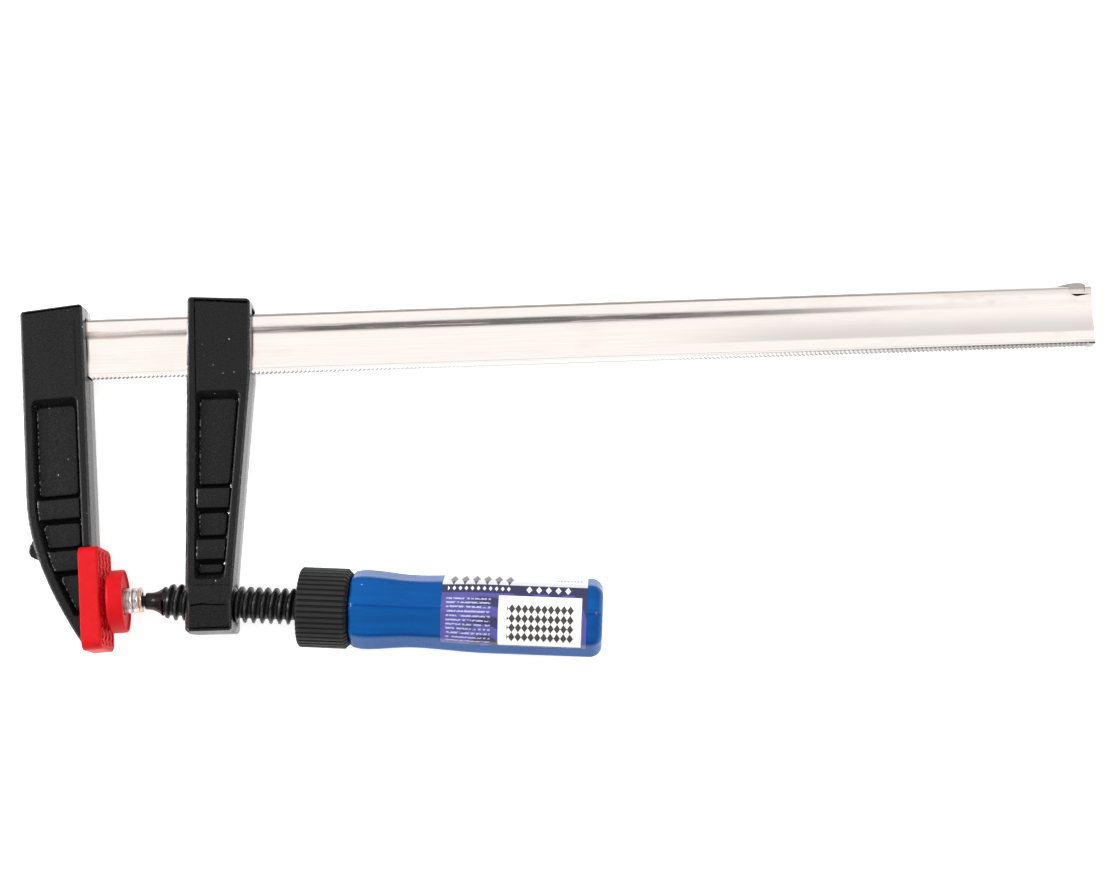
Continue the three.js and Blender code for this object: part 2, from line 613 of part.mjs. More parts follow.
function slidingArm() {
  const head = SLIDE_BACK + SLIDE_HEAD_WIDTH;
  const foot = SLIDE_BACK + SLIDE_FOOT_WIDTH;
  const points = outline([
    [head, SLIDE_TOP, HEAD_CORNER],
    [SLIDE_BACK, SLIDE_TOP, HEAD_CORNER],
    [SLIDE_BACK, -SLIDE_BOTTOM, FOOT_CORNER],
    [foot, -SLIDE_BOTTOM, FOOT_CORNER],
    [foot, -SLIDE_TAPER_END, 0],
    [head, -SLIDE_TAPER_START, 0],
  ]);
  const edge = (drop) => THREE.MathUtils.mapLinear(
    drop, SLIDE_TAPER_START, SLIDE_TAPER_END, head, foot) - RIM;
  const mouth = outline([
    [edge(SLIDE_POCKET_TOP), -SLIDE_POCKET_TOP, POCKET_CORNER],
    [SLIDE_BACK + RIM, -SLIDE_POCKET_TOP, POCKET_CORNER],
    [SLIDE_BACK + RIM, -SLIDE_POCKET_BOTTOM, POCKET_CORNER],
    [edge(SLIDE_POCKET_BOTTOM), -SLIDE_POCKET_BOTTOM, POCKET_CORNER],
  ]);
  const space = pocket(mouth, -SLIDE_POCKET_TOP, -SLIDE_POCKET_BOTTOM, SLIDE_RIBS);
  const slot = block(
    new THREE.Vector3(SLIDE_BACK - OVERRUN, -RAIL_HEIGHT / 2 - SLOT_PLAY, -RAIL_THICKNESS / 2 - SLOT_PLAY),
    new THREE.Vector3(head + OVERRUN, RAIL_HEIGHT / 2 + SLOT_HEADROOM, RAIL_THICKNESS / 2 + SLOT_PLAY));
  const bore = solid(spindleBore()).transform(spindleFrame.toArray());
  const body = solid(casting(points)).add(solid(footBoss()));
  return pocketed(body, space).subtract(solid(slot)).subtract(bore);
}

// The hole for the spindle, countersunk where it leaves the arm on either side.
function spindleBore() {
  const radius = THREAD_RADIUS + RUNNING_GAP;
  const near = (SLIDE_BACK - DRAFT - BALL_ALONG) / Math.cos(SPINDLE_SLOPE);
  const far = (SLIDE_BACK + SLIDE_FOOT_WIDTH + DRAFT - BALL_ALONG) / Math.cos(SPINDLE_SLOPE);
  const flare = radius + COUNTERSINK;
  return turned([
    [near - OVERRUN, 0],
    [near - OVERRUN, flare + OVERRUN],
    [near + COUNTERSINK, radius],
    [far - COUNTERSINK, radius],
    [far + OVERRUN, flare + OVERRUN],
    [far + OVERRUN, 0],
  ]);
}

// Points of an arc about the ball's centre, as [x, radius], between two places on the axis.
function ballArc(radius, from, to) {
  const start = Math.acos(THREE.MathUtils.clamp(from / radius, -1, 1));
  const end = Math.acos(THREE.MathUtils.clamp(to / radius, -1, 1));
  return Array.from({ length: BALL_STEPS + 1 }, (unused, i) => {
    const angle = THREE.MathUtils.lerp(start, end, i / BALL_STEPS);
    return [radius * Math.cos(angle), radius * Math.sin(angle)];
  });
}

// Where a sphere about the ball's centre is as wide as a given radius.
function sphereReach(sphere, radius) {
  return Math.sqrt(sphere * sphere - radius * radius);
}

function spindle() {
  const flare = new THREE.QuadraticBezierCurve(
    new THREE.Vector2(FLARE_START, NECK_RADIUS),
    new THREE.Vector2((FLARE_START + FLARE_END) / 2, NECK_RADIUS),
    new THREE.Vector2(FLARE_END, FLARE_RADIUS)).getPoints(CORNER_STEPS);
  const shoulder = COLLAR_START - SEAT_GAP;
  const screw = turned([
    ...ballArc(BALL_RADIUS, -BALL_RADIUS, sphereReach(BALL_RADIUS, BALL_NECK_RADIUS)),
    [SHOULDER, BALL_NECK_RADIUS],
    [SHOULDER, NECK_RADIUS],
    ...flare.map((p) => [p.x, p.y]),
    [FLARE_END + THREAD_RUNOUT, THREAD_RADIUS],
    [shoulder, THREAD_RADIUS],
    [shoulder, TANG_RADIUS],
    [TANG_END, TANG_RADIUS],
    [TANG_END, 0],
  ]);
  const flats = block(
    new THREE.Vector3(shoulder, TANG_ACROSS_FLATS / 2, -TANG_RADIUS - OVERRUN),
    new THREE.Vector3(TANG_END + OVERRUN, TANG_RADIUS + OVERRUN, TANG_RADIUS + OVERRUN));
  const flat = solid(flats);
  return solid(screw).subtract(flat).subtract(flat.mirror([0, 1, 0]));
}

// The hole that the tang fills: round with two flats, from one place on the axis to another.
function tangHole(from, to) {
  const hole = turned([[from, 0], [from, TANG_RADIUS + SEAT_GAP], [to, TANG_RADIUS + SEAT_GAP], [to, 0]]);
  const across = TANG_ACROSS_FLATS / 2 + SEAT_GAP;
  const width = TANG_RADIUS + OVERRUN;
  const keep = block(new THREE.Vector3(from, -across, -width), new THREE.Vector3(to, across, width));
  return solid(hole).intersect(solid(keep));
}

// The ring is a slice of a spherical shell, so both the ball and the socket swivel on it.
function retainingRing() {
  const inner = BALL_RADIUS + RUNNING_GAP;
  const outer = inner + RING_WALL;
  const profile = [...ballArc(outer, -RING_FRONT, RING_BACK), ...ballArc(inner, RING_BACK, -RING_FRONT)];
  return solid(turned([...profile, profile[0]]));
}

// Steel plate with the socket that is rolled round the ball.
function pressurePlate() {
  const front = padFront + PAD_FRONT_WALL + SEAT_GAP;
  const radius = PAD_RADIUS - PAD_SIDE_WALL - SEAT_GAP;
  const socket = BALL_RADIUS + RING_WALL + 2 * RUNNING_GAP;
  const beads = BEADS.flatMap((place) => [
    [place, SOCKET_RADIUS_OUT],
    [place + BEAD_WIDTH / 4, SOCKET_RADIUS_OUT - BEAD_GROOVE],
    [place + BEAD_WIDTH * 3 / 4, SOCKET_RADIUS_OUT - BEAD_GROOVE],
    [place + BEAD_WIDTH, SOCKET_RADIUS_OUT],
  ]);
  return solid(turned([
    [front, 0],
    [front, radius],
    [front + PLATE_THICKNESS, radius],
    [front + PLATE_THICKNESS, SOCKET_RADIUS_OUT],
    ...beads,
    [SOCKET_END - SOCKET_EDGE, SOCKET_RADIUS_OUT],
    [SOCKET_END, SOCKET_RADIUS_OUT - SOCKET_EDGE],
    [SOCKET_END, SOCKET_MOUTH],
    ...ballArc(socket, sphereReach(socket, SOCKET_MOUTH), -socket),
  ]));
}

// Soft cap round the plate: a clamping wall, a side wall and a lip behind the plate.
function pressureCap() {
  const back = padFront + PAD_LENGTH;
  const inside = padFront + PAD_FRONT_WALL;
  const behind = back - PAD_LIP;
  const wall = PAD_RADIUS - PAD_SIDE_WALL;
  const corner = Array.from({ length: CORNER_STEPS + 1 }, (unused, i) => {
    const angle = Math.PI / 2 * i / CORNER_STEPS;
    return [padFront + PAD_ROUND * (1 - Math.cos(angle)), PAD_RADIUS - PAD_ROUND * (1 - Math.sin(angle))];
  });
  return solid(turned([
    [padFront, 0],
    ...corner,
    [back - PAD_BACK_TAPER, PAD_RADIUS],
    [back, PAD_RADIUS - PAD_BACK_TAPER],
    [back, PAD_LIP_RADIUS],
    [behind, PAD_LIP_RADIUS],
    [behind, wall],
    [inside, wall],
    [inside, 0],
  ]));
}

// The ribbed collar's outline: flat ribs with straight grooves between them.
function ribbedOutline() {
  const points = [];
  const pitch = 2 * Math.PI / COLLAR_RIBS;
  const half = RIB_TOP_SHARE / 2;
  const steps = [
    [-half, COLLAR_RADIUS],
    [half, COLLAR_RADIUS],
    [half + RIB_FLANK_SHARE, COLLAR_RADIUS - RIB_GROOVE],
    [1 - half - RIB_FLANK_SHARE, COLLAR_RADIUS - RIB_GROOVE],
  ];
  for (let i = 0; i < COLLAR_RIBS; i += 1) {
    for (const [share, radius] of steps) {
      const angle = (i + share) * pitch;
      points.push(new THREE.Vector2(radius * Math.cos(angle), radius * Math.sin(angle)));
    }
  }
  return points;
}

function gripCollar() {
  const ribbed = ribbedOutline();
  const end = COLLAR_START + COLLAR_LENGTH;
  const scaled = (bevel) => ribbed.map((p) => p.clone().multiplyScalar(1 - bevel / COLLAR_RADIUS));
  const body = loft([
    { z: COLLAR_START, points: scaled(COLLAR_NEAR_BEVEL) },
    { z: COLLAR_START + COLLAR_NEAR_BEVEL, points: ribbed },
    { z: end - COLLAR_FAR_BEVEL, points: ribbed },
    { z: end, points: scaled(COLLAR_FAR_BEVEL) },
  ]).rotateY(Math.PI / 2);
  return solid(body).subtract(tangHole(COLLAR_START - OVERRUN, end + OVERRUN));
}

// The handle's section at a given size: a circle drawn in at the middle of each facet.
function handleSection(radius) {
  return Array.from({ length: HANDLE_POINTS }, (unused, i) => {
    const angle = 2 * Math.PI * i / HANDLE_POINTS;
    const dip = FACET_DIP_SHARE * (1 - Math.cos(HANDLE_FACETS * (angle + FACET_TURN))) / 2;
    return new THREE.Vector2(Math.cos(angle), Math.sin(angle)).multiplyScalar(radius * (1 - dip));
  });
}

// The handle's radius at a distance from its front end, before its ends are rounded.
function handleRadius(along) {
  const swell = THREE.MathUtils.smoothstep(along, 0, HANDLE_SWELL_AT);
  const waist = THREE.MathUtils.smoothstep(along, HANDLE_SWELL_AT, HANDLE_WAIST_AT);
  const full = THREE.MathUtils.smoothstep(along, HANDLE_WAIST_AT, HANDLE_FULL_AT);
  return HANDLE_FRONT_RADIUS
    + (HANDLE_SWELL_RADIUS - HANDLE_FRONT_RADIUS) * swell
    + (HANDLE_WAIST_RADIUS - HANDLE_SWELL_RADIUS) * waist
    + (HANDLE_REAR_RADIUS - HANDLE_WAIST_RADIUS) * full;
}

// Places and radii along the handle: a rounded front edge, the grip, and a rounder rear edge.
function handleProfile() {
  const stations = [];
  for (let i = 0; i < CORNER_STEPS; i += 1) {
    const angle = Math.PI / 2 * i / CORNER_STEPS;
    const along = HANDLE_FRONT_ROUND * (1 - Math.cos(angle));
    stations.push([along, handleRadius(along) - HANDLE_FRONT_ROUND * (1 - Math.sin(angle))]);
  }
  const straight = HANDLE_LENGTH - HANDLE_FRONT_ROUND - HANDLE_REAR_ROUND;
  for (let i = 0; i < HANDLE_STEPS; i += 1) {
    const along = HANDLE_FRONT_ROUND + straight * i / HANDLE_STEPS;
    stations.push([along, handleRadius(along)]);
  }
  for (let i = 0; i <= CORNER_STEPS; i += 1) {
    const angle = Math.PI / 2 * i / CORNER_STEPS;
    const along = HANDLE_LENGTH - HANDLE_REAR_ROUND * (1 - Math.sin(angle));
    stations.push([along, handleRadius(along) - HANDLE_REAR_ROUND * (1 - Math.cos(angle))]);
  }
  return stations;
}

function handle() {
  const start = COLLAR_START + COLLAR_LENGTH + SEAT_GAP;
  const body = loft(handleProfile().map(([along, radius]) => (
    { z: start + along, points: handleSection(radius) }))).rotateY(Math.PI / 2);
  return solid(body).subtract(tangHole(start - OVERRUN, TANG_END + SEAT_GAP));
}

// Assembly

// A group whose children are drawn in one of the turned frames.
function framed(matrix, ...children) {
  const group = new THREE.Group();
  matrix.decompose(group.position, group.quaternion, group.scale);
  group.add(...children);
  return group;
}

const clamp = new THREE.Group();
clamp.add(
  piece('rail', rail(), FINISH.rail),
  piece('fixed_arm', fixedArm(), FINISH.casting),
  piece('fixed_pad_cap', fixedPadCap(), FINISH.softRed),
  piece('sliding_arm', slidingArm(), FINISH.casting),
  framed(
    spindleFrame,
    piece('spindle', spindle(), FINISH.screw),
    piece('retaining_ring', retainingRing(), FINISH.plated),
    piece('grip_collar', gripCollar(), FINISH.collar),
    piece('handle', handle(), FINISH.handle),
  ),
  framed(
    padFrame,
    piece('pressure_plate', pressurePlate(), FINISH.plated),
    piece('pressure_cap', pressureCap(), FINISH.softRed),
  ),
);

// Set it down: the origin goes under the middle of the clamp's box.
const box = new THREE.Box3().setFromObject(clamp, true);
const middle = box.getCenter(new THREE.Vector3());
clamp.position.set(-middle.x, -middle.y, -box.min.z);
clamp.updateMatrixWorld(true);

export default clamp;
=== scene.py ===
"""Bar clamp with a blue wooden handle: its finished pieces, their materials and the photo stage.

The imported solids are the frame. Each piece here stands for one of them, or is carried by one.
Lengths are in millimetres unless a name ends in _M.
"""
import json
import math

import bmesh
import bpy
from bpy.props import FloatProperty, FloatVectorProperty, IntProperty, PointerProperty
from mathutils import Matrix, Vector


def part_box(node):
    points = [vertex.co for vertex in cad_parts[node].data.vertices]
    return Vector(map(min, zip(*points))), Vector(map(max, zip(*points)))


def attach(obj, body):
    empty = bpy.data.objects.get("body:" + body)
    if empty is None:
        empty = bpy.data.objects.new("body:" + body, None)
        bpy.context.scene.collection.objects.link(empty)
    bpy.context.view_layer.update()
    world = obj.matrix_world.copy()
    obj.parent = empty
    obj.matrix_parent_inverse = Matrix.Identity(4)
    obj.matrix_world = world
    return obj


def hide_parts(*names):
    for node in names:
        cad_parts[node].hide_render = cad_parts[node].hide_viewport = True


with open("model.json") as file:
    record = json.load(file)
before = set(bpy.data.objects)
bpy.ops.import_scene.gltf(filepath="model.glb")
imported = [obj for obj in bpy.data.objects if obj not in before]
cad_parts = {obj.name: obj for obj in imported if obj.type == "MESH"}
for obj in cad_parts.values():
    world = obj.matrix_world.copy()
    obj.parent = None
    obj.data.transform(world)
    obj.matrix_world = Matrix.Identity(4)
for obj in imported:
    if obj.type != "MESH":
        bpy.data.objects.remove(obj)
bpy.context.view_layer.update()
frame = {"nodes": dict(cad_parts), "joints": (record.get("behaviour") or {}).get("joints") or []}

bl_info = {
    "name": "Bar clamp",
    "version": (1, 0, 0),
    "blender": (4, 5, 0),
    "location": "View3D > Sidebar > Bar clamp",
    "description": "Finishes a bar clamp's rail, castings, spindle, pads and handle",
    "category": "Object",
}

MM = 0.001

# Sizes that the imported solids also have

RAIL_SUNK = 19.0            # length of the rail inside the fixed arm
TOOTH_TIP = 10.5            # the teeth's tips below the rail's middle line
CHANNEL_FLOOR = 1.85        # from the rail's middle plane
FACE_HEIGHT = 6.5           # of the arms' flat faces, from the middle plane
ARM_LEAN = math.radians(3.2)
PAD_TURN = math.radians(5.2)
PAD_GAP = 1.6
CAP_FRONT_WALL = 2.5

BALL_RADIUS = 2.7
BALL_NECK_RADIUS = 1.9
SHOULDER = 4.6
NECK_RADIUS = 2.95
FLARE_START = 5.8
FLARE_END = 11.0
FLARE_RADIUS = 5.2
THREAD_RUNOUT = 3.0
SHOULDER_END = 58.0
TANG_RADIUS = 4.2
TANG_END = 60.5

COLLAR_START = 58.3
COLLAR_LENGTH = 17.5
COLLAR_RADIUS = 13.8
COLLAR_GAP = 0.3
HANDLE_START = COLLAR_START + COLLAR_LENGTH + COLLAR_GAP
HANDLE_LENGTH = 86.4
HANDLE_FRONT_RADIUS = 13.1
HANDLE_SWELL_RADIUS = 13.7
HANDLE_WAIST_RADIUS = 12.5
HANDLE_REAR_RADIUS = 13.5
HANDLE_SWELL_AT = 4.5
HANDLE_WAIST_AT = 22.0
HANDLE_FULL_AT = 47.0
HANDLE_FRONT_ROUND = 1.6
HANDLE_REAR_ROUND = 4.2
HANDLE_FACETS = 8
FACET_DIP_SHARE = 0.05      # of the radius, at the middle of a facet
HANDLE_BORE = 5.3
BORE_DEPTH = 6.0            # as deep as it is drawn

PAD_RADIUS = 10.9
PAD_LENGTH = 5.6
PAD_FRONT_WALL = 2.0
PAD_SIDE_WALL = 1.4
PAD_LIP = 1.0
PAD_ROUND = 0.9
SEAT_GAP = 0.3
PLATE_THICKNESS = 2.0
SOCKET_RADIUS_OUT = 4.4
SOCKET_INSIDE = 3.6
SOCKET_END = 3.3
SOCKET_MOUTH = 2.75
SOCKET_EDGE = 0.45

# Sizes of the finished pieces alone

HEAD_TOP_FROM = 13.5        # the sliding head's top edge lies above this
HEAD_TOP_SLOPE = 0.06
HEAD_MIDDLE = 47.6
CHANNEL_RAISED = 0.2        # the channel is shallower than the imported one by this
CHANNEL_FOOT = 2.9          # where a flank of the channel meets its floor
CHANNEL_MOUTH = (5.0, 7.0)  # it meets the rail's face between these
FOOT_SOFTNESS = 1.2         # how far each is rounded
MOUTH_SOFTNESS = 1.1
PAD_LIP_RADIUS = 4.9
PAD_RIM = 0.45              # the cup's thin rim stands behind its lip
PAD_RECESS = 0.75           # by this
CUP_SLACK = 0.2             # the cup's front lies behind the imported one's by this
BEADS = (-0.6, 1.5)         # rolled grooves round the socket
BEAD_GROOVE = 0.3
BEAD_WIDTH = 1.0
HANDLE_POINTS = 192         # round the handle
LABEL_POINTS = (49, 128)    # the label runs from one of them to another
LABEL_FILM = 0.07

# Dark lines in the arms' flat faces, the mould's seams, steps and grooves with their shade painted in:
# start, end, half width and strength
SHADED_MOULD_LINES = (
    ((39.1, 15.2), (39.9, -20.9), 0.34, 0.9),
    ((39.1, 15.2), (58.2, 13.7), 0.60, 1.0),
    ((-21.1, 12.4), (-0.8, 14.6), 0.60, 1.0),
    ((-3.4, 9.7), (-2.1, -14.5), 0.30, 0.45),
    ((38.8, -93.0), (43.8, -92.5), 0.50, 0.9),
    ((43.8, -92.8), (51.0, -93.1), 0.40, 0.8),
    ((38.8, -100.7), (53.6, -100.7), 0.45, 0.9),
    ((39.4, -85.7), (52.9, -86.1), 0.28, 0.5),
)
# Pale specks there: place, strength
SPECKS = (
    ((51.5, 0.6), 0.7), ((45.9, -8.6), 0.2), ((49.4, -11.6), 0.25), ((53.3, -11.3), 0.35),
    ((40.0, -18.8), 0.3))
TRENCH = (2.7, 3.7)         # the floors of the arms' pockets lie below these, and get painted shade

WELD = 0.002                # corners closer than this are one corner
FLAT = math.radians(1.0)    # faces that meet at less than this are one face
SHARP = math.radians(24.0)  # and at more than this, a corner that paint softens
LEVEL_SLACK = 0.02          # a corner this near a level lies on it

# The photograph's camera, and the lamps: name, place and size in metres, power

CAMERA_PLACE_M = (0.010645, -0.113365, 0.666261)
CAMERA_TURN = (10.5395, 1.3191, -1.6617)
CAMERA_LENS = 61.566
CAMERA_SIDE = (-0.045, -0.21, 0.977)    # the way up to it, dim in the room
LAMPS = (
    ("left_light", (-0.9, 0.15, 0.55), (0.2, 0.5), 12.0),
    ("right_light", (1.0, 0.15, 0.6), (0.15, 0.35), 6.0),
)

# The clamp's own axes

joints = {joint["name"]: joint for joint in frame["joints"]}
BALL_M = Vector(joints["pad_tilt"]["pos_m"])
SCREW_AXIS = Vector(joints["spindle_turn"]["axis"]).normalized()
SCREW_TURN = math.atan2(SCREW_AXIS.y, SCREW_AXIS.x)
rail_low, rail_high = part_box("rail")
CORNER_M = Vector((
    rail_low.x + RAIL_SUNK * MM, rail_low.y + TOOTH_TIP * MM, (rail_low.z + rail_high.z) / 2))

# From a piece's own millimetres to the row's metres
CLAMP = Matrix.Translation(CORNER_M) @ Matrix.Scale(MM, 4)
ARM = CLAMP @ Matrix.Rotation(ARM_LEAN, 4, "Z")
SCREW = Matrix.Translation(BALL_M) @ Matrix.Rotation(SCREW_TURN, 4, "Z") @ Matrix.Scale(MM, 4)
PAD = (Matrix.Translation(BALL_M) @ Matrix.Rotation(ARM_LEAN, 4, "Z")
       @ Matrix.Rotation(PAD_TURN, 4, "Y") @ Matrix.Scale(MM, 4))


def pad_front():
    """Where the pad's clamping face lies on the pad's own axis, from the ball's centre."""
    to_arm = ARM.inverted() @ BALL_M
    return -(to_arm.x - CAP_FRONT_WALL - PAD_GAP) / math.cos(PAD_TURN)


class ClampSizes(bpy.types.PropertyGroup):
    """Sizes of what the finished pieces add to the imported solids."""
    thread_pitch: FloatProperty(
        name="Thread pitch", description="Distance from one crest to the next, in millimetres",
        default=3.0, min=1.0, max=6.0)
    thread_radius: FloatProperty(
        name="Thread radius", description="Outside radius of the screw, in millimetres",
        default=6.3, min=4.0, max=8.0)
    thread_depth: FloatProperty(
        name="Thread depth", description="From crest to root, in millimetres",
        default=1.65, min=0.3, max=2.5)
    casting_edge: FloatProperty(
        name="Casting edge", description="Rounding of the castings' edges, in millimetres",
        default=0.3, min=0.05, max=1.0)
    groove_depth: FloatProperty(
        name="Groove depth", description="Depth of the wavy grooves in the soft pads, in millimetres",
        default=0.7, min=0.1, max=1.5)
    groove_count: IntProperty(
        name="Grooves", description="Wavy grooves across the fixed pad", default=4, min=1, max=8)
    label_start: FloatProperty(
        name="Label start", description="From the handle's front end, in millimetres",
        default=31.6, min=0.0, max=60.0)
    label_length: FloatProperty(
        name="Label length", description="Length of the label along the handle, in millimetres",
        default=49.4, min=10.0, max=80.0)


def colour(name, description, default):
    return FloatVectorProperty(
        name=name, description=description, subtype="COLOR", size=3, min=0.0, max=1.0, default=default)


class ClampColours(bpy.types.PropertyGroup):
    """Main colour of each finish, as linear light."""
    paint: colour("Casting paint", "Black paint on the castings", (0.006, 0.006, 0.0062))
    rail: colour("Rail plating", "Bright plating on the rail", (0.93, 0.87, 0.83))
    soft_red: colour("Soft pads", "Red plastic of the pads", (0.42, 0.004, 0.007))
    zinc: colour("Zinc plating", "Plated steel of the socket", (0.74, 0.73, 0.71))
    screw: colour("Screw", "Blackened steel of the spindle", (0.008, 0.008, 0.0085))
    collar: colour("Collar", "Black plastic of the ribbed collar", (0.006, 0.006, 0.0065))
    lacquer: colour("Handle lacquer", "Blue lacquer on the handle", (0.0005, 0.066, 0.250))
    label_field: colour("Label field", "Violet-blue ground of the label", (0.060, 0.055, 0.240))
    label_band: colour("Label band", "Dark band across the label", (0.012, 0.012, 0.055))
    floor: colour("Floor", "Pale floor under the clamp", (0.93, 0.93, 0.93))


# Materials


class Field:
    """A socket whose arithmetic adds Math nodes to its material."""

    def __init__(self, finish, socket):
        self.finish = finish
        self.socket = socket

    def maths(self, operation, *terms):
        return self.finish.node(
            "ShaderNodeMath", {"operation": operation}, dict(enumerate(terms)))

    def __add__(self, other):
        return self.maths("ADD", self, other)

    def __radd__(self, other):
        return self.maths("ADD", other, self)

    def __sub__(self, other):
        return self.maths("SUBTRACT", self, other)

    def __rsub__(self, other):
        return self.maths("SUBTRACT", other, self)

    def __mul__(self, other):
        return self.maths("MULTIPLY", self, other)

    def __rmul__(self, other):
        return self.maths("MULTIPLY", other, self)

    def __pow__(self, other):
        return self.maths("POWER", self, other)

    def magnitude(self):
        return self.maths("ABSOLUTE", self)

    def wrapped(self, period):
        return self.maths("PINGPONG", self, period)


class Nodes:
    """A shader's node tree, and the few ways its nodes are made."""

    def __init__(self, owner, shader):
        owner.use_nodes = True
        self.tree = owner.node_tree
        self.shader = self.tree.nodes[shader]

    def node(self, kind, settings=None, sockets=None, output=0):
        """Adds a node, sets it, then fills its sockets with values or other nodes' outputs."""
        made = self.tree.nodes.new(kind)
        for key, value in (settings or {}).items():
            setattr(made, key, value)
        for key, value in (sockets or {}).items():
            self.fill(made.inputs[key], value)
        return Field(self, made.outputs[output])

    def fill(self, socket, value):
        if isinstance(value, Field):
            self.tree.links.new(value.socket, socket)
        elif hasattr(value, "__len__") and socket.type == "RGBA":
            socket.default_value = (*value, 1.0)
        else:
            socket.default_value = value

    def part(self, place, axis):
        return self.node("ShaderNodeSeparateXYZ", None, {0: place}, "XYZ".index(axis))

    def vector(self, operation, *terms, output="Vector"):
        return self.node(
            "ShaderNodeVectorMath", {"operation": operation}, dict(enumerate(terms)), output)

    def dot(self, place, towards):
        return self.vector("DOT_PRODUCT", place, towards, output="Value")

    def ramp(self, value, low, high):
        """Runs smoothly from 0 to 1 while its input runs from low to high."""
        return self.node("ShaderNodeMapRange", {"interpolation_type": "SMOOTHSTEP"}, {
            "Value": value, "From Min": low, "From Max": high})


class Finish(Nodes):
    """One material."""

    def __init__(self, name):
        self.material = bpy.data.materials.new(name)
        super().__init__(self.material, "Principled BSDF")

    def place(self, about_m=(0.0, 0.0, 0.0), turn=0.0, stretch=(1.0, 1.0, 1.0)):
        """Object coordinates in millimetres from a point, turned about Z, with stretched axes."""
        here = self.node("ShaderNodeTexCoord", output="Object")
        moved = self.node("ShaderNodeMapping", {"vector_type": "TEXTURE"}, {
            "Vector": here, "Location": about_m, "Rotation": (0.0, 0.0, turn)})
        scale = tuple(1.0 / (MM * s) for s in stretch)
        return self.node("ShaderNodeMapping", None, {"Vector": moved, "Scale": scale})

    def noise(self, place, per_mm, detail=2.0, rough=0.5):
        return self.node("ShaderNodeTexNoise", None, {
            "Vector": place, "Scale": per_mm, "Detail": detail, "Roughness": rough})

    def cells(self, place, per_mm, output):
        return self.node("ShaderNodeTexVoronoi", None, {"Vector": place, "Scale": per_mm}, output)

    def mix(self, share, first, second):
        return self.node("ShaderNodeMix", {"data_type": "RGBA"}, {0: share, 6: first, 7: second}, 2)

    def facing(self, axis):
        """How squarely a surface faces along an axis, either way."""
        return self.part(self.node("ShaderNodeNewGeometry", output="Normal"), axis).magnitude()

    def off_axis(self, place):
        """Distance from the X axis of a place."""
        across = self.vector("MULTIPLY", place, (0.0, 1.0, 1.0))
        return self.vector("LENGTH", across, output="Value")

    def softened(self, radius, samples=6):
        """The surface's direction, with its corners rounded by a radius."""
        return self.node("ShaderNodeBevel", {"samples": samples}, {"Radius": radius * MM})

    def edges(self, radius):
        """Near 1 along sharp outer edges, 0 on flat faces."""
        flat = self.node("ShaderNodeNewGeometry", output="Normal")
        return 1.0 - self.dot(self.softened(radius, 4), flat)

    def bump(self, height, depth, soften=0.0):
        """A bump whose height of 1 is this many millimetres, over edges softened by a radius."""
        sockets = {"Height": height, "Distance": depth * MM}
        if soften:
            sockets["Normal"] = self.softened(soften)
        normal = self.node("ShaderNodeBump", None, sockets)
        self.shader.inputs["Normal"].default_value = (0.0, 0.0, 0.0)
        self.tree.links.new(normal.socket, self.shader.inputs["Normal"])

    def surface(self, **sockets):
        """Fills the surface shader's sockets: base_color becomes Base Color, and so on."""
        for name, value in sockets.items():
            self.fill(self.shader.inputs[name.replace("_", " ").title().replace("Ior", "IOR")], value)
        return self.material


def inside(f, value, low, high, soft=0.004):
    """1 between two places, 0 beyond them."""
    return f.ramp(value, low - soft, low + soft) * (1.0 - f.ramp(value, high - soft, high + soft))


def spots(f, place, per_mm, size, share):
    """Small round specks, in a share of the cells."""
    near = f.cells(place, per_mm, "Distance")
    tone = f.part(f.cells(place, per_mm, "Color"), "X")
    chosen = f.ramp(tone, 1.0 - share, 1.0 - share * 0.9)
    return chosen * (1.0 - f.ramp(near, size * 0.6, size))


def stroke(f, place, start, end, width):
    """1 on a thin straight line between two points of an arm's flat face."""
    run = Vector((end[0] - start[0], end[1] - start[1], 0.0))
    towards = run.normalized()
    here = f.vector("SUBTRACT", place, (*start, 0.0))
    off = f.dot(here, (-towards.y, towards.x, 0.0)).magnitude()
    line = 1.0 - f.ramp(off, width * 0.3, width)
    return line * inside(f, f.dot(here, towards), 0.0, run.length, width)


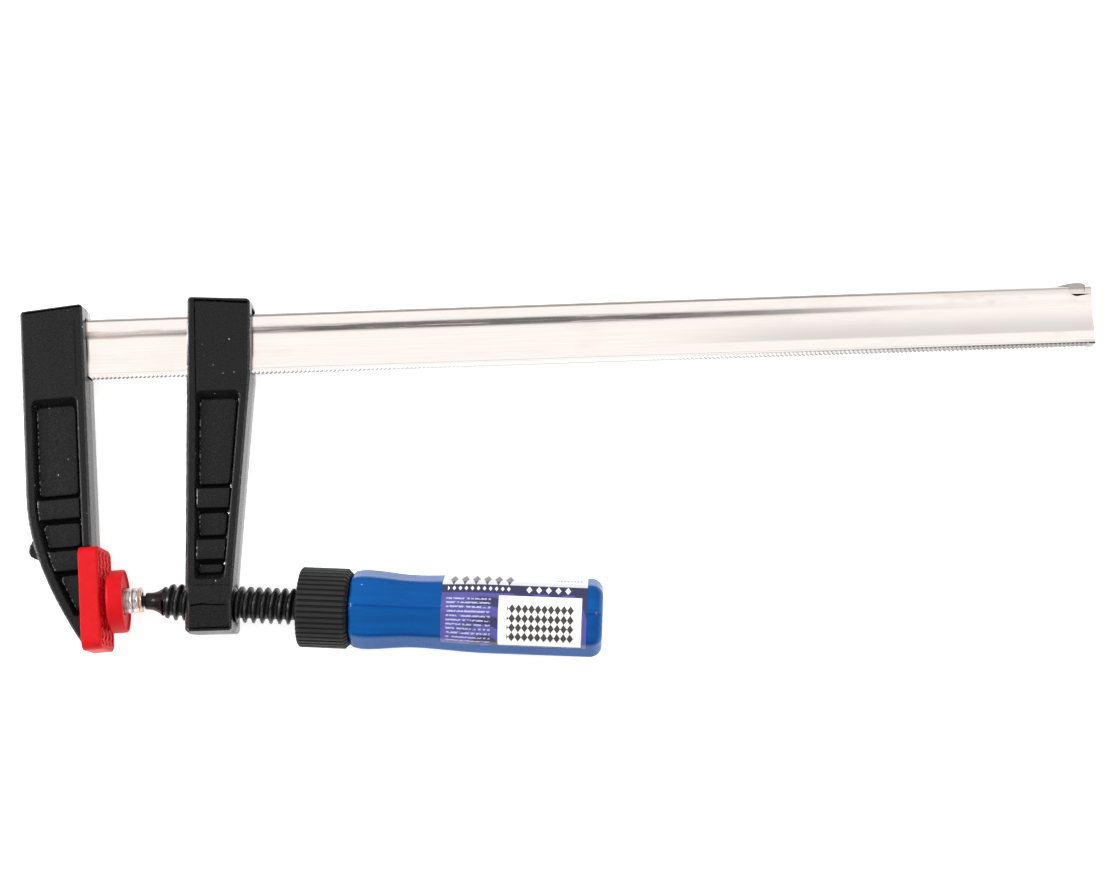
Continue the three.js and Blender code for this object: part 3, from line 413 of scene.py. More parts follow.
def casting_paint(colours):
    """Semi-gloss black over cast iron: pebbled, dusty, rubbed at its edges, with painted highlights on
    the left edges of its pocket panels and ribs, painted shade on its pocket floors, and mould lines
    whose shade is painted in.
    """
    f = Finish("casting_paint")
    place = f.place(CORNER_M)
    pebble = f.noise(place, 0.55, 3.0, 0.55)
    grain = f.noise(place, 2.6, 2.0, 0.5)
    drift = f.noise(place, 0.06, 2.0)
    height = f.part(place, "Z").magnitude()
    flat = f.ramp(height, FACE_HEIGHT - 0.4, FACE_HEIGHT - 0.1)
    # Painted shade: the pockets' floors are drawn near black, and mostly metallic so that they reflect
    # almost nothing
    trench_shade = (1.0 - f.ramp(height, *TRENCH)) * f.ramp(f.facing("Z"), 0.5, 0.8)
    # The mould's seams and grooves, drawn as black lines that reflect nothing: partly the lines
    # themselves, partly painted shade
    seams_and_shade = 0.0
    for start, end, width, depth in SHADED_MOULD_LINES:
        seams_and_shade = seams_and_shade + stroke(f, place, start, end, width) * depth
    seams_and_shade = seams_and_shade * flat * f.ramp(pebble, 0.25, 0.42)
    edge = f.ramp(f.edges(0.5) * (0.4 + 1.2 * pebble), 0.08, 0.32)
    # Painted highlight: pale grey along the left-facing edges of the raised panels and ribs in the
    # pockets, broken up by noise
    leaning = f.dot(f.softened(0.8), (-1.0, 0.15, 0.0))
    raised = 1.0 - f.ramp(height, FACE_HEIGHT - 0.35, FACE_HEIGHT - 0.1)
    raised = f.ramp(f.facing("Z"), 0.6, 0.9) * raised
    bright = f.ramp(leaning, 0.12, 0.34) * raised * f.ramp(f.noise(place, 0.8, 2.0), 0.47, 0.60)
    dust = spots(f, place, 0.25, 0.065, 0.5)
    for speck, strength in SPECKS:
        off = f.vector("DISTANCE", place, (*speck, FACE_HEIGHT), output="Value")
        dust = dust + strength * (1.0 - f.ramp(off, 0.12, 0.34))
    black = f.mix(f.ramp(drift, 0.35, 0.7), colours.paint, (0.006, 0.006, 0.0062))
    black = f.mix(f.ramp(grain, 0.42, 0.75) * 0.6, black, (0.018, 0.018, 0.0185))
    black = f.mix(edge * 0.3, black, (0.035, 0.035, 0.036))
    black = f.mix(seams_and_shade, black, (0.001, 0.001, 0.001))
    black = f.mix(trench_shade, black, (0.002, 0.002, 0.002))
    black = f.mix(bright, black, (0.40, 0.40, 0.41))
    black = f.mix(dust, black, (0.42, 0.41, 0.39))
    f.bump(pebble * 0.75 + grain * 0.25, 0.16, 0.9)
    return f.surface(
        base_color=black,
        metallic=seams_and_shade + 0.8 * trench_shade,
        roughness=0.19 + 0.12 * f.ramp(grain, 0.3, 0.7) + 0.06 * drift,
        specular_ior_level=0.13,
        coat_weight=f.ramp(f.facing("X"), 0.5, 0.8) * (0.35 + 0.35 * pebble),
        coat_roughness=0.2)


def rail_plating(colours):
    """Bright plated steel: drawn lines and tan stains, with painted dark reflections in the channel
    near the arms and along the top edge, and painted shade low in the channel near the free end and on
    the teeth.
    """
    f = Finish("rail_plating")
    place = f.place(CORNER_M)
    drawn = f.noise(f.place(CORNER_M, stretch=(60.0, 1.0, 1.0)), 2.2, 4.0, 0.6)
    cloud = f.noise(f.place(CORNER_M, stretch=(2.5, 1.0, 1.0)), 0.12, 4.0, 0.55)
    pits = f.noise(place, 1.6, 3.0, 0.6)
    along, across, height = (f.part(place, axis) for axis in "XYZ")
    end = f.ramp(along, 255.0, 345.0)
    stain = f.ramp(cloud, 0.52, 0.74) * (0.10 + 0.42 * end)
    edge = f.ramp(f.edges(0.35), 0.05, 0.4) * f.ramp(pits, 0.3, 0.5)
    # Painted shade on the teeth's tips: near black on their lower half, towards the floor, and all
    # across them towards the free end
    low = 1.0 - f.ramp(height + 0.8 * pits, -0.9, 0.6)
    free_end = f.ramp(along + 50.0 * cloud, 205.0, 350.0)
    teeth_shade = (low + free_end * (1.0 - low)) * (1.0 - f.ramp(across, -10.0, -9.7))
    # A thin darker line along the rail, near the teeth
    thin_dark_line = inside(f, across, -9.45, -9.25, 0.15)
    # Painted dark reflection: a darker band along the rail's top edge, wider towards the free end
    rim = f.ramp(across, 9.0, 9.7) * (0.9 - 0.45 * end) + 0.22 * end * f.ramp(across, 7.0, 9.0)
    flank = inside(f, across, 3.0, 5.9, 0.3) * (1.0 - f.ramp(along, 205.0, 245.0))
    worn = f.noise(f.place(CORNER_M, stretch=(8.0, 1.0, 1.0)), 0.28, 2.0)
    tan = flank * f.ramp(worn, 0.60, 0.68)
    streak = flank * f.ramp(drawn, 0.52, 0.66)
    # Painted dark reflection: the channel's flank darker near the arms, streaked along the drawn lines
    channel_dark_reflection = inside(f, across, 3.3, 4.4, 0.4) * (1.0 - f.ramp(along, 70.0, 120.0))
    # Painted shade: the channel darker towards its lower flank near the free end
    dim = (1.0 - f.ramp(across, -5.0, 3.5)) * f.ramp(across, -6.2, -5.4)
    dim = f.ramp(along, 190.0, 260.0) * dim
    tone = f.mix(f.ramp(drawn, 0.3, 0.7) * 0.35, colours.rail, (0.83, 0.77, 0.74))
    tone = f.mix(dim * 0.8, tone, (0.62, 0.59, 0.57))
    tone = f.mix(stain, tone, (0.66, 0.50, 0.38))
    tone = f.mix(edge * (0.35 + 0.35 * end), tone, (0.40, 0.31, 0.25))
    tone = f.mix(tan * 0.55, tone, (0.62, 0.44, 0.36))
    tone = f.mix(channel_dark_reflection * (0.25 + 0.5 * drawn), tone, (0.30, 0.26, 0.25))
    tone = f.mix(rim, tone, (0.16, 0.14, 0.13))
    tone = f.mix(thin_dark_line * (0.1 + 0.4 * pits), tone, (0.30, 0.26, 0.24))
    tone = f.mix(teeth_shade * 0.9, tone, (0.03, 0.025, 0.025))
    f.bump(drawn * 0.85 + pits * 0.15, 0.007)
    return f.surface(
        base_color=tone,
        metallic=1.0,
        roughness=0.13 + 0.05 * f.ramp(cloud, 0.3, 0.75) + 0.12 * (stain + tan) + 0.16 * streak)


def soft_red(colours):
    """Moulded red plastic: satin, mottled, with painted highlights along its edges, a few dark nicks
    and a faint painted glow.
    """
    f = Finish("soft_red")
    place = f.place()
    mottle = f.noise(place, 0.35, 3.0)
    skin = f.noise(place, 3.2, 2.0)
    # Painted highlight: paler red along the edges and the grooves' rims
    pale = f.ramp(f.edges(0.4) * (0.5 + mottle), 0.06, 0.35)
    nick = spots(f, place, 0.2, 0.07, 0.45)
    red = f.mix(f.ramp(mottle, 0.3, 0.7), colours.soft_red, (0.38, 0.003, 0.005))
    red = f.mix(pale * 0.62, red, (0.95, 0.26, 0.22))
    red = f.mix(nick * 0.55, red, (0.26, 0.004, 0.008))
    f.bump(skin * 0.5 + mottle * 0.5, 0.03)
    return f.surface(
        base_color=red,
        roughness=0.42 + 0.16 * skin,
        specular_ior_level=0.11,
        subsurface_weight=0.06,
        subsurface_scale=0.002,
        # Painted light: a faint red glow that lifts the pads' shaded sides
        emission_color=(1.0, 0.0, 0.012),
        emission_strength=0.1)


def zinc_plating(colours):
    """Plated steel turned on a lathe: fine dark rings, a tan bloom at the socket's mouth."""
    f = Finish("zinc_plating")
    place = f.place(BALL_M, SCREW_TURN)
    rings = f.noise(f.place(BALL_M, SCREW_TURN, (1.0, 26.0, 26.0)), 5.0, 3.0, 0.6)
    cloud = f.noise(place, 0.5, 3.0)
    bloom = f.ramp(f.part(place, "X") + 1.6 * cloud, 1.6, 4.2)
    edge = f.ramp(f.edges(0.25), 0.05, 0.4)
    tone = f.mix(f.ramp(rings, 0.46, 0.64) * 0.85, colours.zinc, (0.16, 0.16, 0.165))
    tone = f.mix(bloom * 0.75, tone, (0.58, 0.40, 0.27))
    tone = f.mix(edge * 0.4, tone, (0.80, 0.79, 0.77))
    f.bump(rings * 0.6 + cloud * 0.4, 0.02)
    return f.surface(base_color=tone, metallic=1.0, roughness=0.22 + 0.18 * rings)


def blackened_steel(colours):
    """Black finish on a rolled screw: oily, rubbed to grey steel along the crests."""
    f = Finish("blackened_steel")
    place = f.place(BALL_M, SCREW_TURN)
    grain = f.noise(f.place(BALL_M, SCREW_TURN, (1.0, 5.0, 5.0)), 1.5, 3.0)
    cloud = f.noise(place, 0.4, 3.0)
    out = f.off_axis(place)
    crest = f.ramp(out, 5.9, 6.35) * f.ramp(cloud, 0.4, 0.65)
    tone = f.mix(crest * 0.5, colours.screw, (0.10, 0.10, 0.105))
    tone = f.mix(f.ramp(grain, 0.6, 0.8) * 0.3, tone, (0.05, 0.045, 0.042))
    f.bump(grain, 0.03)
    return f.surface(
        base_color=tone,
        metallic=0.35 * crest,
        roughness=0.20 + 0.14 * grain,
        specular_ior_level=0.2)


def collar_plastic(colours):
    """Matt black moulded plastic, a little greyer along the ribs' tops."""
    f = Finish("collar_plastic")
    place = f.place(BALL_M, SCREW_TURN)
    grain = f.noise(place, 3.0, 2.0)
    cloud = f.noise(place, 0.3, 2.0)
    out = f.off_axis(place)
    top = f.ramp(out, COLLAR_RADIUS - 0.45, COLLAR_RADIUS - 0.05)
    tone = f.mix(top * (0.5 + 0.5 * cloud), colours.collar, (0.020, 0.020, 0.0205))
    f.bump(grain, 0.03)
    return f.surface(
        base_color=tone, roughness=0.46 + 0.16 * grain, specular_ior_level=0.15)


def handle_lacquer(colours):
    """Glossy lacquer over wood: ripples along the grain, painted dark reflections along the facets'
    corners, small chips in front.
    """
    f = Finish("handle_lacquer")
    place = f.place(BALL_M, SCREW_TURN)
    grain = f.noise(f.place(BALL_M, SCREW_TURN, (9.0, 1.0, 1.0)), 0.30, 4.0, 0.55)
    peel = f.noise(place, 0.30, 2.0)
    fleck = f.noise(place, 4.0, 2.0)
    along = f.part(place, "X")
    front = 1.0 - f.ramp(along, HANDLE_START + 4.0, HANDLE_START + 9.0)
    chip = spots(f, place, 0.42, 0.13, 0.35) * front * f.ramp(fleck, 0.35, 0.6)
    tone = f.mix(f.ramp(grain, 0.35, 0.65), colours.lacquer, (0.0005, 0.054, 0.215))
    # Painted dark reflection: darker blue lines along the facets' corners
    corner = 0.0
    for i in range(HANDLE_FACETS // 2):
        angle = 2 * math.pi * i / HANDLE_FACETS
        off = f.dot(place, (0.0, math.cos(angle), math.sin(angle))).magnitude()
        corner = corner + (1.0 - f.ramp(off, 0.15, 0.65))
    corner = corner * f.ramp(f.off_axis(place), HANDLE_WAIST_RADIUS - 3.0, HANDLE_WAIST_RADIUS - 1.5)
    tone = f.mix(corner * 0.55, tone, (0.0002, 0.022, 0.14))
    tone = f.mix(chip, tone, (0.62, 0.60, 0.55))
    f.bump(grain * 0.5 + peel * 0.5 - chip * 0.4, 0.10)
    return f.surface(
        base_color=tone,
        roughness=0.20 + 0.08 * f.ramp(fleck, 0.3, 0.7) + 0.3 * chip,
        specular_ior_level=0.11)


def label_print(colours):
    """Gloss paper: lozenges on a pale header, a beaded dark band, violet arcs, a harlequin panel."""
    f = Finish("label_print")
    sheet = f.node("ShaderNodeUVMap", {"uv_map": "Label"})
    u, v = f.part(sheet, "X"), f.part(sheet, "Y")
    fibre = f.noise(f.place(), 6.0, 2.0)
    white, pale, ink = (0.74, 0.73, 0.715), (0.42, 0.42, 0.60), (0.035, 0.025, 0.028)

    def lozenges(across, down, middle, share):
        """1 inside a row of lozenges: their number along the label, their height and place."""
        off = (u * across).wrapped(0.5) + (v - middle).magnitude() * down
        return 1.0 - f.ramp(off, share, share + 0.03)

    swirl = ((u - 0.30) * (u - 0.30) * 2.0 + (v - 1.0) * (v - 1.0)) ** 0.5
    field = f.mix(
        f.ramp((swirl * 5.0).wrapped(0.5), 0.22, 0.28), colours.label_field, (0.016, 0.016, 0.075))
    field = f.mix((1.0 - f.ramp(u, 0.10, 0.30)) * 0.8, field, colours.label_field)
    lines = f.ramp((v * 22.0).wrapped(0.5), 0.27, 0.33)
    lines = inside(f, u, 0.035, 0.34) * inside(f, v, 0.46, 0.95) * lines
    field = f.mix(lines * f.ramp(f.noise(f.place(), 1.3, 1.0), 0.42, 0.46) * 0.8, field, pale)
    panel = inside(f, u, 0.395, 0.965) * inside(f, v, 0.43, 0.975)
    checks = 1.0 - f.ramp((u * 22.5).wrapped(0.5) + (v * 10.5).wrapped(0.5), 0.49, 0.52)
    checks = checks * inside(f, u, 0.455, 0.915) * inside(f, v, 0.525, 0.905)
    band = inside(f, v, 0.312, 0.405)
    beads = lozenges(24.0, 12.0, 0.357, 0.28) * inside(f, u, 0.04, 0.48, 0.001)
    beads = beads + lozenges(15.0, 8.0, 0.357, 0.29) * inside(f, u, 0.567, 0.90, 0.001)
    header = 1.0 - f.ramp(v, 0.308, 0.316)
    motif = lozenges(13.0, 3.0, 0.20, 0.36) * inside(f, u, 0.03, 0.50, 0.001)
    motif = motif + lozenges(44.0, 12.0, 0.17, 0.34) * inside(f, u, 0.78, 0.96, 0.001) * 0.7
    tone = f.mix(panel, field, white)
    tone = f.mix(checks, tone, ink)
    tone = f.mix(band, tone, colours.label_band)
    tone = f.mix(beads * band, tone, white)
    tone = f.mix(header, tone, (0.50, 0.50, 0.515))
    tone = f.mix(motif * header, tone, ink)
    tone = f.mix(f.ramp(fibre, 0.4, 0.9) * 0.08, tone, (0.60, 0.60, 0.62))
    f.bump(fibre, 0.006)
    return f.surface(base_color=tone, roughness=0.34 + 0.10 * fibre, specular_ior_level=0.4)


def floor_paper(colours):
    """Pale paper over a light table."""
    f = Finish("floor_paper")
    fibre = f.noise(f.place(), 0.8, 3.0)
    tone = f.mix(f.ramp(fibre, 0.3, 0.7), colours.floor, (0.915, 0.915, 0.915))
    f.bump(fibre, 0.02)
    return f.surface(
        base_color=tone, roughness=0.9, specular_ior_level=0.1,
        emission_color=(1.0, 1.0, 1.0), emission_strength=0.58)


# Shapes


def cad_copy(node):
    """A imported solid's faces in millimetres from the clamp's corner, merged and made whole."""
    shape = bmesh.new()
    shape.from_mesh(frame["nodes"][node].data)
    bmesh.ops.transform(shape, matrix=CLAMP.inverted(), verts=shape.verts)
    bmesh.ops.remove_doubles(shape, verts=shape.verts, dist=WELD)
    bmesh.ops.dissolve_limit(
        shape, angle_limit=FLAT, verts=shape.verts, edges=shape.edges, use_dissolve_boundaries=False)
    return shape


def rounded(shape, edges, width, segments=2):
    bmesh.ops.bevel(
        shape, geom=list(edges), offset=width, offset_type="OFFSET", segments=segments,
        profile=0.5, affect="EDGES", clamp_overlap=True, material=-1, loop_slide=True)


def sharp(shape):
    return [e for e in shape.edges if len(e.link_faces) == 2 and e.calc_face_angle(0.0) > SHARP]


def mesh_of(name, shape):
    """A mesh with a shape's faces. The shape itself is given up."""
    mesh = bpy.data.meshes.new(name)
    shape.to_mesh(mesh)
    shape.free()
    return mesh


def linked(name, data):
    """A new object in the scene."""
    made = bpy.data.objects.new(name, data)
    bpy.context.scene.collection.objects.link(made)
    return made


def finished(name, shape, axes, material, body, nodes=(), smooth=math.radians(35.0)):
    """Makes the object of a shape, its place in its mesh, and sets it on its body."""
    bmesh.ops.transform(shape, matrix=axes, verts=shape.verts)
    for face in shape.faces:
        face.smooth = True
    for edge in shape.edges:
        edge.smooth = len(edge.link_faces) == 2 and edge.calc_face_angle(0.0) < smooth
    piece = linked(name, mesh_of(name, shape))
    piece.data.materials.append(material)
    shading = piece.modifiers.new("flat_faces_stay_flat", "WEIGHTED_NORMAL")
    shading.keep_sharp = True
    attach(piece, body)
    if nodes:
        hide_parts(*nodes)
    return piece


def lathe(profile, steps):
    """A closed solid turned about the X axis from (place, radius) points that start and end there."""
    shape = bmesh.new()
    corners = [shape.verts.new((along, radius, 0.0)) for along, radius in profile]
    line = [shape.edges.new(pair) for pair in zip(corners, corners[1:])]
    bmesh.ops.spin(
        shape, geom=corners + line, cent=(0.0, 0.0, 0.0), axis=(1.0, 0.0, 0.0), dvec=(0.0, 0.0, 0.0),
        angle=2 * math.pi, steps=steps, use_merge=True, use_duplicate=False)
    bmesh.ops.remove_doubles(shape, verts=shape.verts, dist=WELD)
    bmesh.ops.recalc_face_normals(shape, faces=shape.faces)
    return shape


def grown(shape, edges, move):
    """Draws a row of edges out, moves each new corner as move says, and gives the new row."""
    new = bmesh.ops.extrude_edge_only(shape, edges=edges)["geom"]
    for v in (g for g in new if isinstance(g, bmesh.types.BMVert)):
        v.co = move(v.co)
    return [g for g in new if isinstance(g, bmesh.types.BMEdge)]


def on_ring(along, radius):
    """Moves a corner straight out or in to a ring round the X axis."""
    return lambda place: Vector((along, *(Vector((place.y, place.z)).normalized() * radius)))


def arc(centre, radius, start, end, steps):
    """Points of an arc as (place, radius), between two angles from the axis."""
    angles = [start + (end - start) * i / steps for i in range(steps + 1)]
    return [(centre[0] + radius * math.cos(a), centre[1] + radius * math.sin(a)) for a in angles]


def smoothstep(value, low, high):
    share = min(max((value - low) / (high - low), 0.0), 1.0)
    return share * share * (3.0 - 2.0 * share)


def casting(node, edge, slanted_top=False):
    """A casting, its edges softened as paint softens them. The sliding head's top runs downhill."""
    shape = cad_copy(node)
    for v in shape.verts if slanted_top else ():
        if v.co.y > HEAD_TOP_FROM:
            v.co.y -= (v.co.x - HEAD_MIDDLE) * HEAD_TOP_SLOPE
    rounded(shape, sharp(shape), edge)
    return shape


def rail_shape():
    """The rail with the flanks of its channel drawn broad and shallow, and its teeth left crisp."""
    shape = cad_copy("rail")

    for v in shape.verts:
        if abs(abs(v.co.z) - CHANNEL_FLOOR) < LEVEL_SLACK:
            v.co.y = math.copysign(CHANNEL_FOOT, v.co.y)
            v.co.z += math.copysign(CHANNEL_RAISED, v.co.z)

    def along_channel(low, high):
        return [e for e in shape.edges if e.calc_length() > CHANNEL_FOOT * 4
                and all(low < abs(v.co.y) < high for v in e.verts)]

    rounded(shape, along_channel(CHANNEL_FOOT - 0.1, CHANNEL_FOOT + 0.1), FOOT_SOFTNESS, 8)
    rounded(shape, along_channel(*CHANNEL_MOUTH), MOUTH_SOFTNESS, 6)
    return shape


def wave(along, period, swing):
    """A zigzag that swings to either side once in each period."""
    share = along / period % 1.0
    return swing * (4.0 * abs(share - 0.5) - 1.0)


def sliced(shape, here, starts, turn):
    """Cuts the faces that lie in one plane along a row of parallel lines."""
    for start in starts:
        faces = [f for f in shape.faces if all(here(v) for v in f.verts)]
        edges = {e for f in faces for e in f.edges}
        corners = {v for f in faces for v in f.verts}
        bmesh.ops.bisect_plane(
            shape, geom=[*corners, *edges, *faces], plane_co=turn * start, plane_no=turn, dist=WELD)


def fixed_cap_shape(count, depth):
    """The soft cap on the fixed arm, with wavy grooves down its clamping face."""
    shape = cad_copy("fixed_pad_cap")
    bmesh.ops.transform(shape, matrix=Matrix.Rotation(-ARM_LEAN, 4, "Z"), verts=shape.verts)
    rounded(shape, sharp(shape), 0.25)
    front = max(shape.faces, key=lambda face: face.calc_area() * (face.normal.x > 0.99))
    reach = front.verts[0].co.x
    low, high = (pick(v.co.y for v in front.verts) for pick in (min, max))
    half_z = max(v.co.z for v in front.verts)
    half_y, middle = (high - low) / 2, (high + low) / 2
    corner, border, fade, swing = 2.7, 0.9, 1.5, 0.8

    def here(v):
        return abs(v.co.x - reach) < WELD

    spacing = 2 * half_z / count
    centres = [-half_z + spacing * (i + 0.5) for i in range(count)]
    sides = [c + spacing * off for c in centres for off in (-0.30, -0.19, 0.19, 0.30)]
    period, rows = 3.6, 6
    sliced(shape, here, sides, Vector((0.0, 0.0, 1.0)))
    step = period / rows
    cuts = int(half_y / step)
    sliced(shape, here, [middle + step * i for i in range(-cuts, cuts + 1)], Vector((0.0, 1.0, 0.0)))
    for v in [v for v in shape.verts if here(v)]:
        y, z = v.co.y - middle, v.co.z
        over = Vector((abs(y) - half_y + corner, abs(z) - half_z + corner))
        out = Vector((max(over.x, 0.0), max(over.y, 0.0))).length + min(max(over.x, over.y), 0.0)
        margin = corner - out
        off = min(abs(z - c) for c in centres) / spacing
        v.co.z += min(margin / fade, 1.0) * wave(y, period, swing)
        v.co.x -= depth * (1.0 - smoothstep(off, 0.20, 0.29)) * (1.0 if margin > border else 0.0)
    bmesh.ops.transform(shape, matrix=Matrix.Rotation(ARM_LEAN, 4, "Z"), verts=shape.verts)
    return shape


def pressure_cap_shape(depth):
    """The soft cup over the swivelling pad: wavy grooves in front, a rim and a sunk lip behind."""
    front = pad_front() + CUP_SLACK
    cells, flat = 56, PAD_RADIUS - PAD_ROUND
    shape = bmesh.new()
    bmesh.ops.create_grid(shape, x_segments=cells, y_segments=cells, size=1.0)
    for v in shape.verts:
        a, b = v.co.x, v.co.y
        z, y = a * math.sqrt(1.0 - b * b / 2), b * math.sqrt(1.0 - a * a / 2)
        v.co = Vector((front, flat * y, flat * z))
    edges = [e for e in shape.edges if e.is_boundary]
    spacing, period, swing = 4.6, 3.8, 0.75
    for v in shape.verts:
        if v.is_boundary:
            continue
        near_rim = flat - math.hypot(v.co.y, v.co.z)
        across = v.co.z - wave(v.co.y, period, swing) + spacing / 2
        off = abs((across + spacing / 2) % spacing - spacing / 2)
        deep = 1.0 - smoothstep(off, spacing * 0.12, spacing * 0.28)
        v.co.x += depth * deep * smoothstep(near_rim, 0.7, 1.3)
    back = front + PAD_LENGTH
    wall = PAD_RADIUS - PAD_SIDE_WALL
    rings = [(front + PAD_ROUND * (1 - math.cos(a)), flat + PAD_ROUND * math.sin(a))
             for a in (math.pi / 2 * i / 4 for i in range(1, 5))]
    rings += [
        (back - PAD_RIM, PAD_RADIUS),
        (back - PAD_RIM * 0.15, PAD_RADIUS - PAD_RIM * 0.5),
        (back, PAD_RADIUS - PAD_RIM),
        (back - PAD_RIM * 0.15, PAD_RADIUS - PAD_RIM * 1.6),
        (back - PAD_RECESS, PAD_RADIUS - PAD_RIM * 2.0),
        (back - PAD_RECESS, PAD_LIP_RADIUS),
        (back - PAD_LIP, PAD_LIP_RADIUS),
        (back - PAD_LIP, wall),
        (front + PAD_FRONT_WALL, wall),
    ]
    for ring in rings:
        edges = grown(shape, edges, on_ring(*ring))
    bmesh.ops.holes_fill(shape, edges=edges, sides=0)
    bmesh.ops.recalc_face_normals(shape, faces=shape.faces)
    return shape


def pressure_plate_shape():
    """Round plate under the cup, and the socket rolled round the spindle's ball."""
    front = pad_front() + PAD_FRONT_WALL + SEAT_GAP
    radius = PAD_RADIUS - PAD_SIDE_WALL - SEAT_GAP
    beads = [point for place in BEADS for point in (
        (place, SOCKET_RADIUS_OUT),
        (place + BEAD_WIDTH * 0.22, SOCKET_RADIUS_OUT - BEAD_GROOVE * 0.75),
        (place + BEAD_WIDTH * 0.5, SOCKET_RADIUS_OUT - BEAD_GROOVE),
        (place + BEAD_WIDTH * 0.78, SOCKET_RADIUS_OUT - BEAD_GROOVE * 0.75),
        (place + BEAD_WIDTH, SOCKET_RADIUS_OUT))]
    lip = arc((SOCKET_END - SOCKET_EDGE, SOCKET_RADIUS_OUT - SOCKET_EDGE), SOCKET_EDGE,
              math.pi / 2, 0.0, 5)
    mouth = math.asin(SOCKET_MOUTH / SOCKET_INSIDE)
    inside_arc = arc((0.0, 0.0), SOCKET_INSIDE, mouth, math.pi, 16)
    return lathe([
        (front, 0.0),
        (front, radius - 0.2),
        (front + 0.2, radius),
        (front + PLATE_THICKNESS - 0.2, radius),
        (front + PLATE_THICKNESS, radius - 0.2),
        (front + PLATE_THICKNESS, SOCKET_RADIUS_OUT + 0.5),
        (front + PLATE_THICKNESS + 0.15, SOCKET_RADIUS_OUT + 0.15),
        (front + PLATE_THICKNESS + 0.5, SOCKET_RADIUS_OUT),
        *beads,
        *lip,
        (SOCKET_END, SOCKET_MOUTH),
        *inside_arc,
    ], 72)


def thread_limit(along, radius):
    """The widest that the screw may be at a place, so that its thread grows out of the flare."""
    if along < FLARE_END:
        share = max((along - FLARE_START) / (FLARE_END - FLARE_START), 0.0)
        return NECK_RADIUS + (FLARE_RADIUS - NECK_RADIUS) * share * share
    return FLARE_RADIUS + (radius - FLARE_RADIUS) * min((along - FLARE_END) / THREAD_RUNOUT, 1.0)


def spindle_shape(sizes):
    """Ball, neck and flare turned in one, then the screw swept round the same axis."""
    radius, pitch = sizes.thread_radius, sizes.thread_pitch
    root, steps, start = radius - sizes.thread_depth, 48, FLARE_END - 0.75 * pitch
    turns = math.floor((SHOULDER_END - start) / pitch)
    shape = bmesh.new()
    section = ((0.0, root), (0.10, root + 0.10), (0.28, radius - 0.20), (0.34, radius),
               (0.50, radius), (0.56, radius - 0.20), (0.74, root + 0.10), (0.84, root), (1.0, root))
    corners = [shape.verts.new((start + share * pitch, 0.0, out)) for share, out in section]
    line = [shape.edges.new(pair) for pair in zip(corners, corners[1:])]
    bmesh.ops.spin(
        shape, geom=corners + line, cent=(0.0, 0.0, 0.0), axis=(-1.0, 0.0, 0.0),
        dvec=(pitch / steps, 0.0, 0.0), angle=2 * math.pi * turns, steps=steps * turns,
        use_merge=False, use_duplicate=False)
    bmesh.ops.remove_doubles(shape, verts=shape.verts, dist=0.02)
    far = start + turns * pitch
    for v in shape.verts:
        out = math.hypot(v.co.y, v.co.z)
        limit = thread_limit(v.co.x, radius)
        if out > limit:
            v.co.y, v.co.z = v.co.y * limit / out, v.co.z * limit / out
    for x, keep in ((FLARE_END - 0.5, -1.0), (far, 1.0)):
        bmesh.ops.bisect_plane(
            shape, geom=shape.verts[:] + shape.edges[:] + shape.faces[:], plane_co=(x, 0.0, 0.0),
            plane_no=(keep, 0.0, 0.0), clear_outer=True, dist=1e-4)
    bmesh.ops.recalc_face_normals(shape, faces=shape.faces)
    for part in (neck_shape(), tang_shape(far, root)):
        joined = mesh_of("spindle_part", part)
        shape.from_mesh(joined)
        bpy.data.meshes.remove(joined)
    return shape


def neck_shape():
    """The ball on its neck, the shoulder and the flare, closed inside the screw's first turn."""
    join = FLARE_END - 0.3
    ball = arc((0.0, 0.0), BALL_RADIUS, math.pi, math.asin(BALL_NECK_RADIUS / BALL_RADIUS), 14)
    flare = [(FLARE_START + (join - FLARE_START) * i / 8) for i in range(9)]
    return lathe([
        *ball,
        (SHOULDER, BALL_NECK_RADIUS),
        (SHOULDER, NECK_RADIUS - 0.2),
        (SHOULDER + 0.2, NECK_RADIUS),
        *((x, thread_limit(x, 0.0)) for x in flare),
        (join, 0.0),
    ], 48)


def tang_shape(far, root):
    """The plain end of the screw, inside the collar."""
    return lathe([
        (FLARE_END, 0.0), (FLARE_END, 3.0), (FLARE_END + 4.0, root - 0.02), (far + 0.4, root - 0.02),
        (TANG_END, TANG_RADIUS), (TANG_END + 8.0, TANG_RADIUS), (TANG_END + 8.0, 0.0)], 48)


def handle_radius(along):
    """The handle's radius at a distance from its front end, before its ends are rounded."""
    swell = smoothstep(along, 0.0, HANDLE_SWELL_AT)
    waist = smoothstep(along, HANDLE_SWELL_AT, HANDLE_WAIST_AT)
    full = smoothstep(along, HANDLE_WAIST_AT, HANDLE_FULL_AT)
    return (HANDLE_FRONT_RADIUS
            + (HANDLE_SWELL_RADIUS - HANDLE_FRONT_RADIUS) * swell
            + (HANDLE_WAIST_RADIUS - HANDLE_SWELL_RADIUS) * waist
            + (HANDLE_REAR_RADIUS - HANDLE_WAIST_RADIUS) * full)


def facet_share(angle):
    """The share of the handle's radius that its surface reaches at an angle round it."""
    pitch = 2 * math.pi / HANDLE_FACETS
    off = angle % pitch - pitch / 2
    return min((1.0 - FACET_DIP_SHARE) / math.cos(off), 1.0)


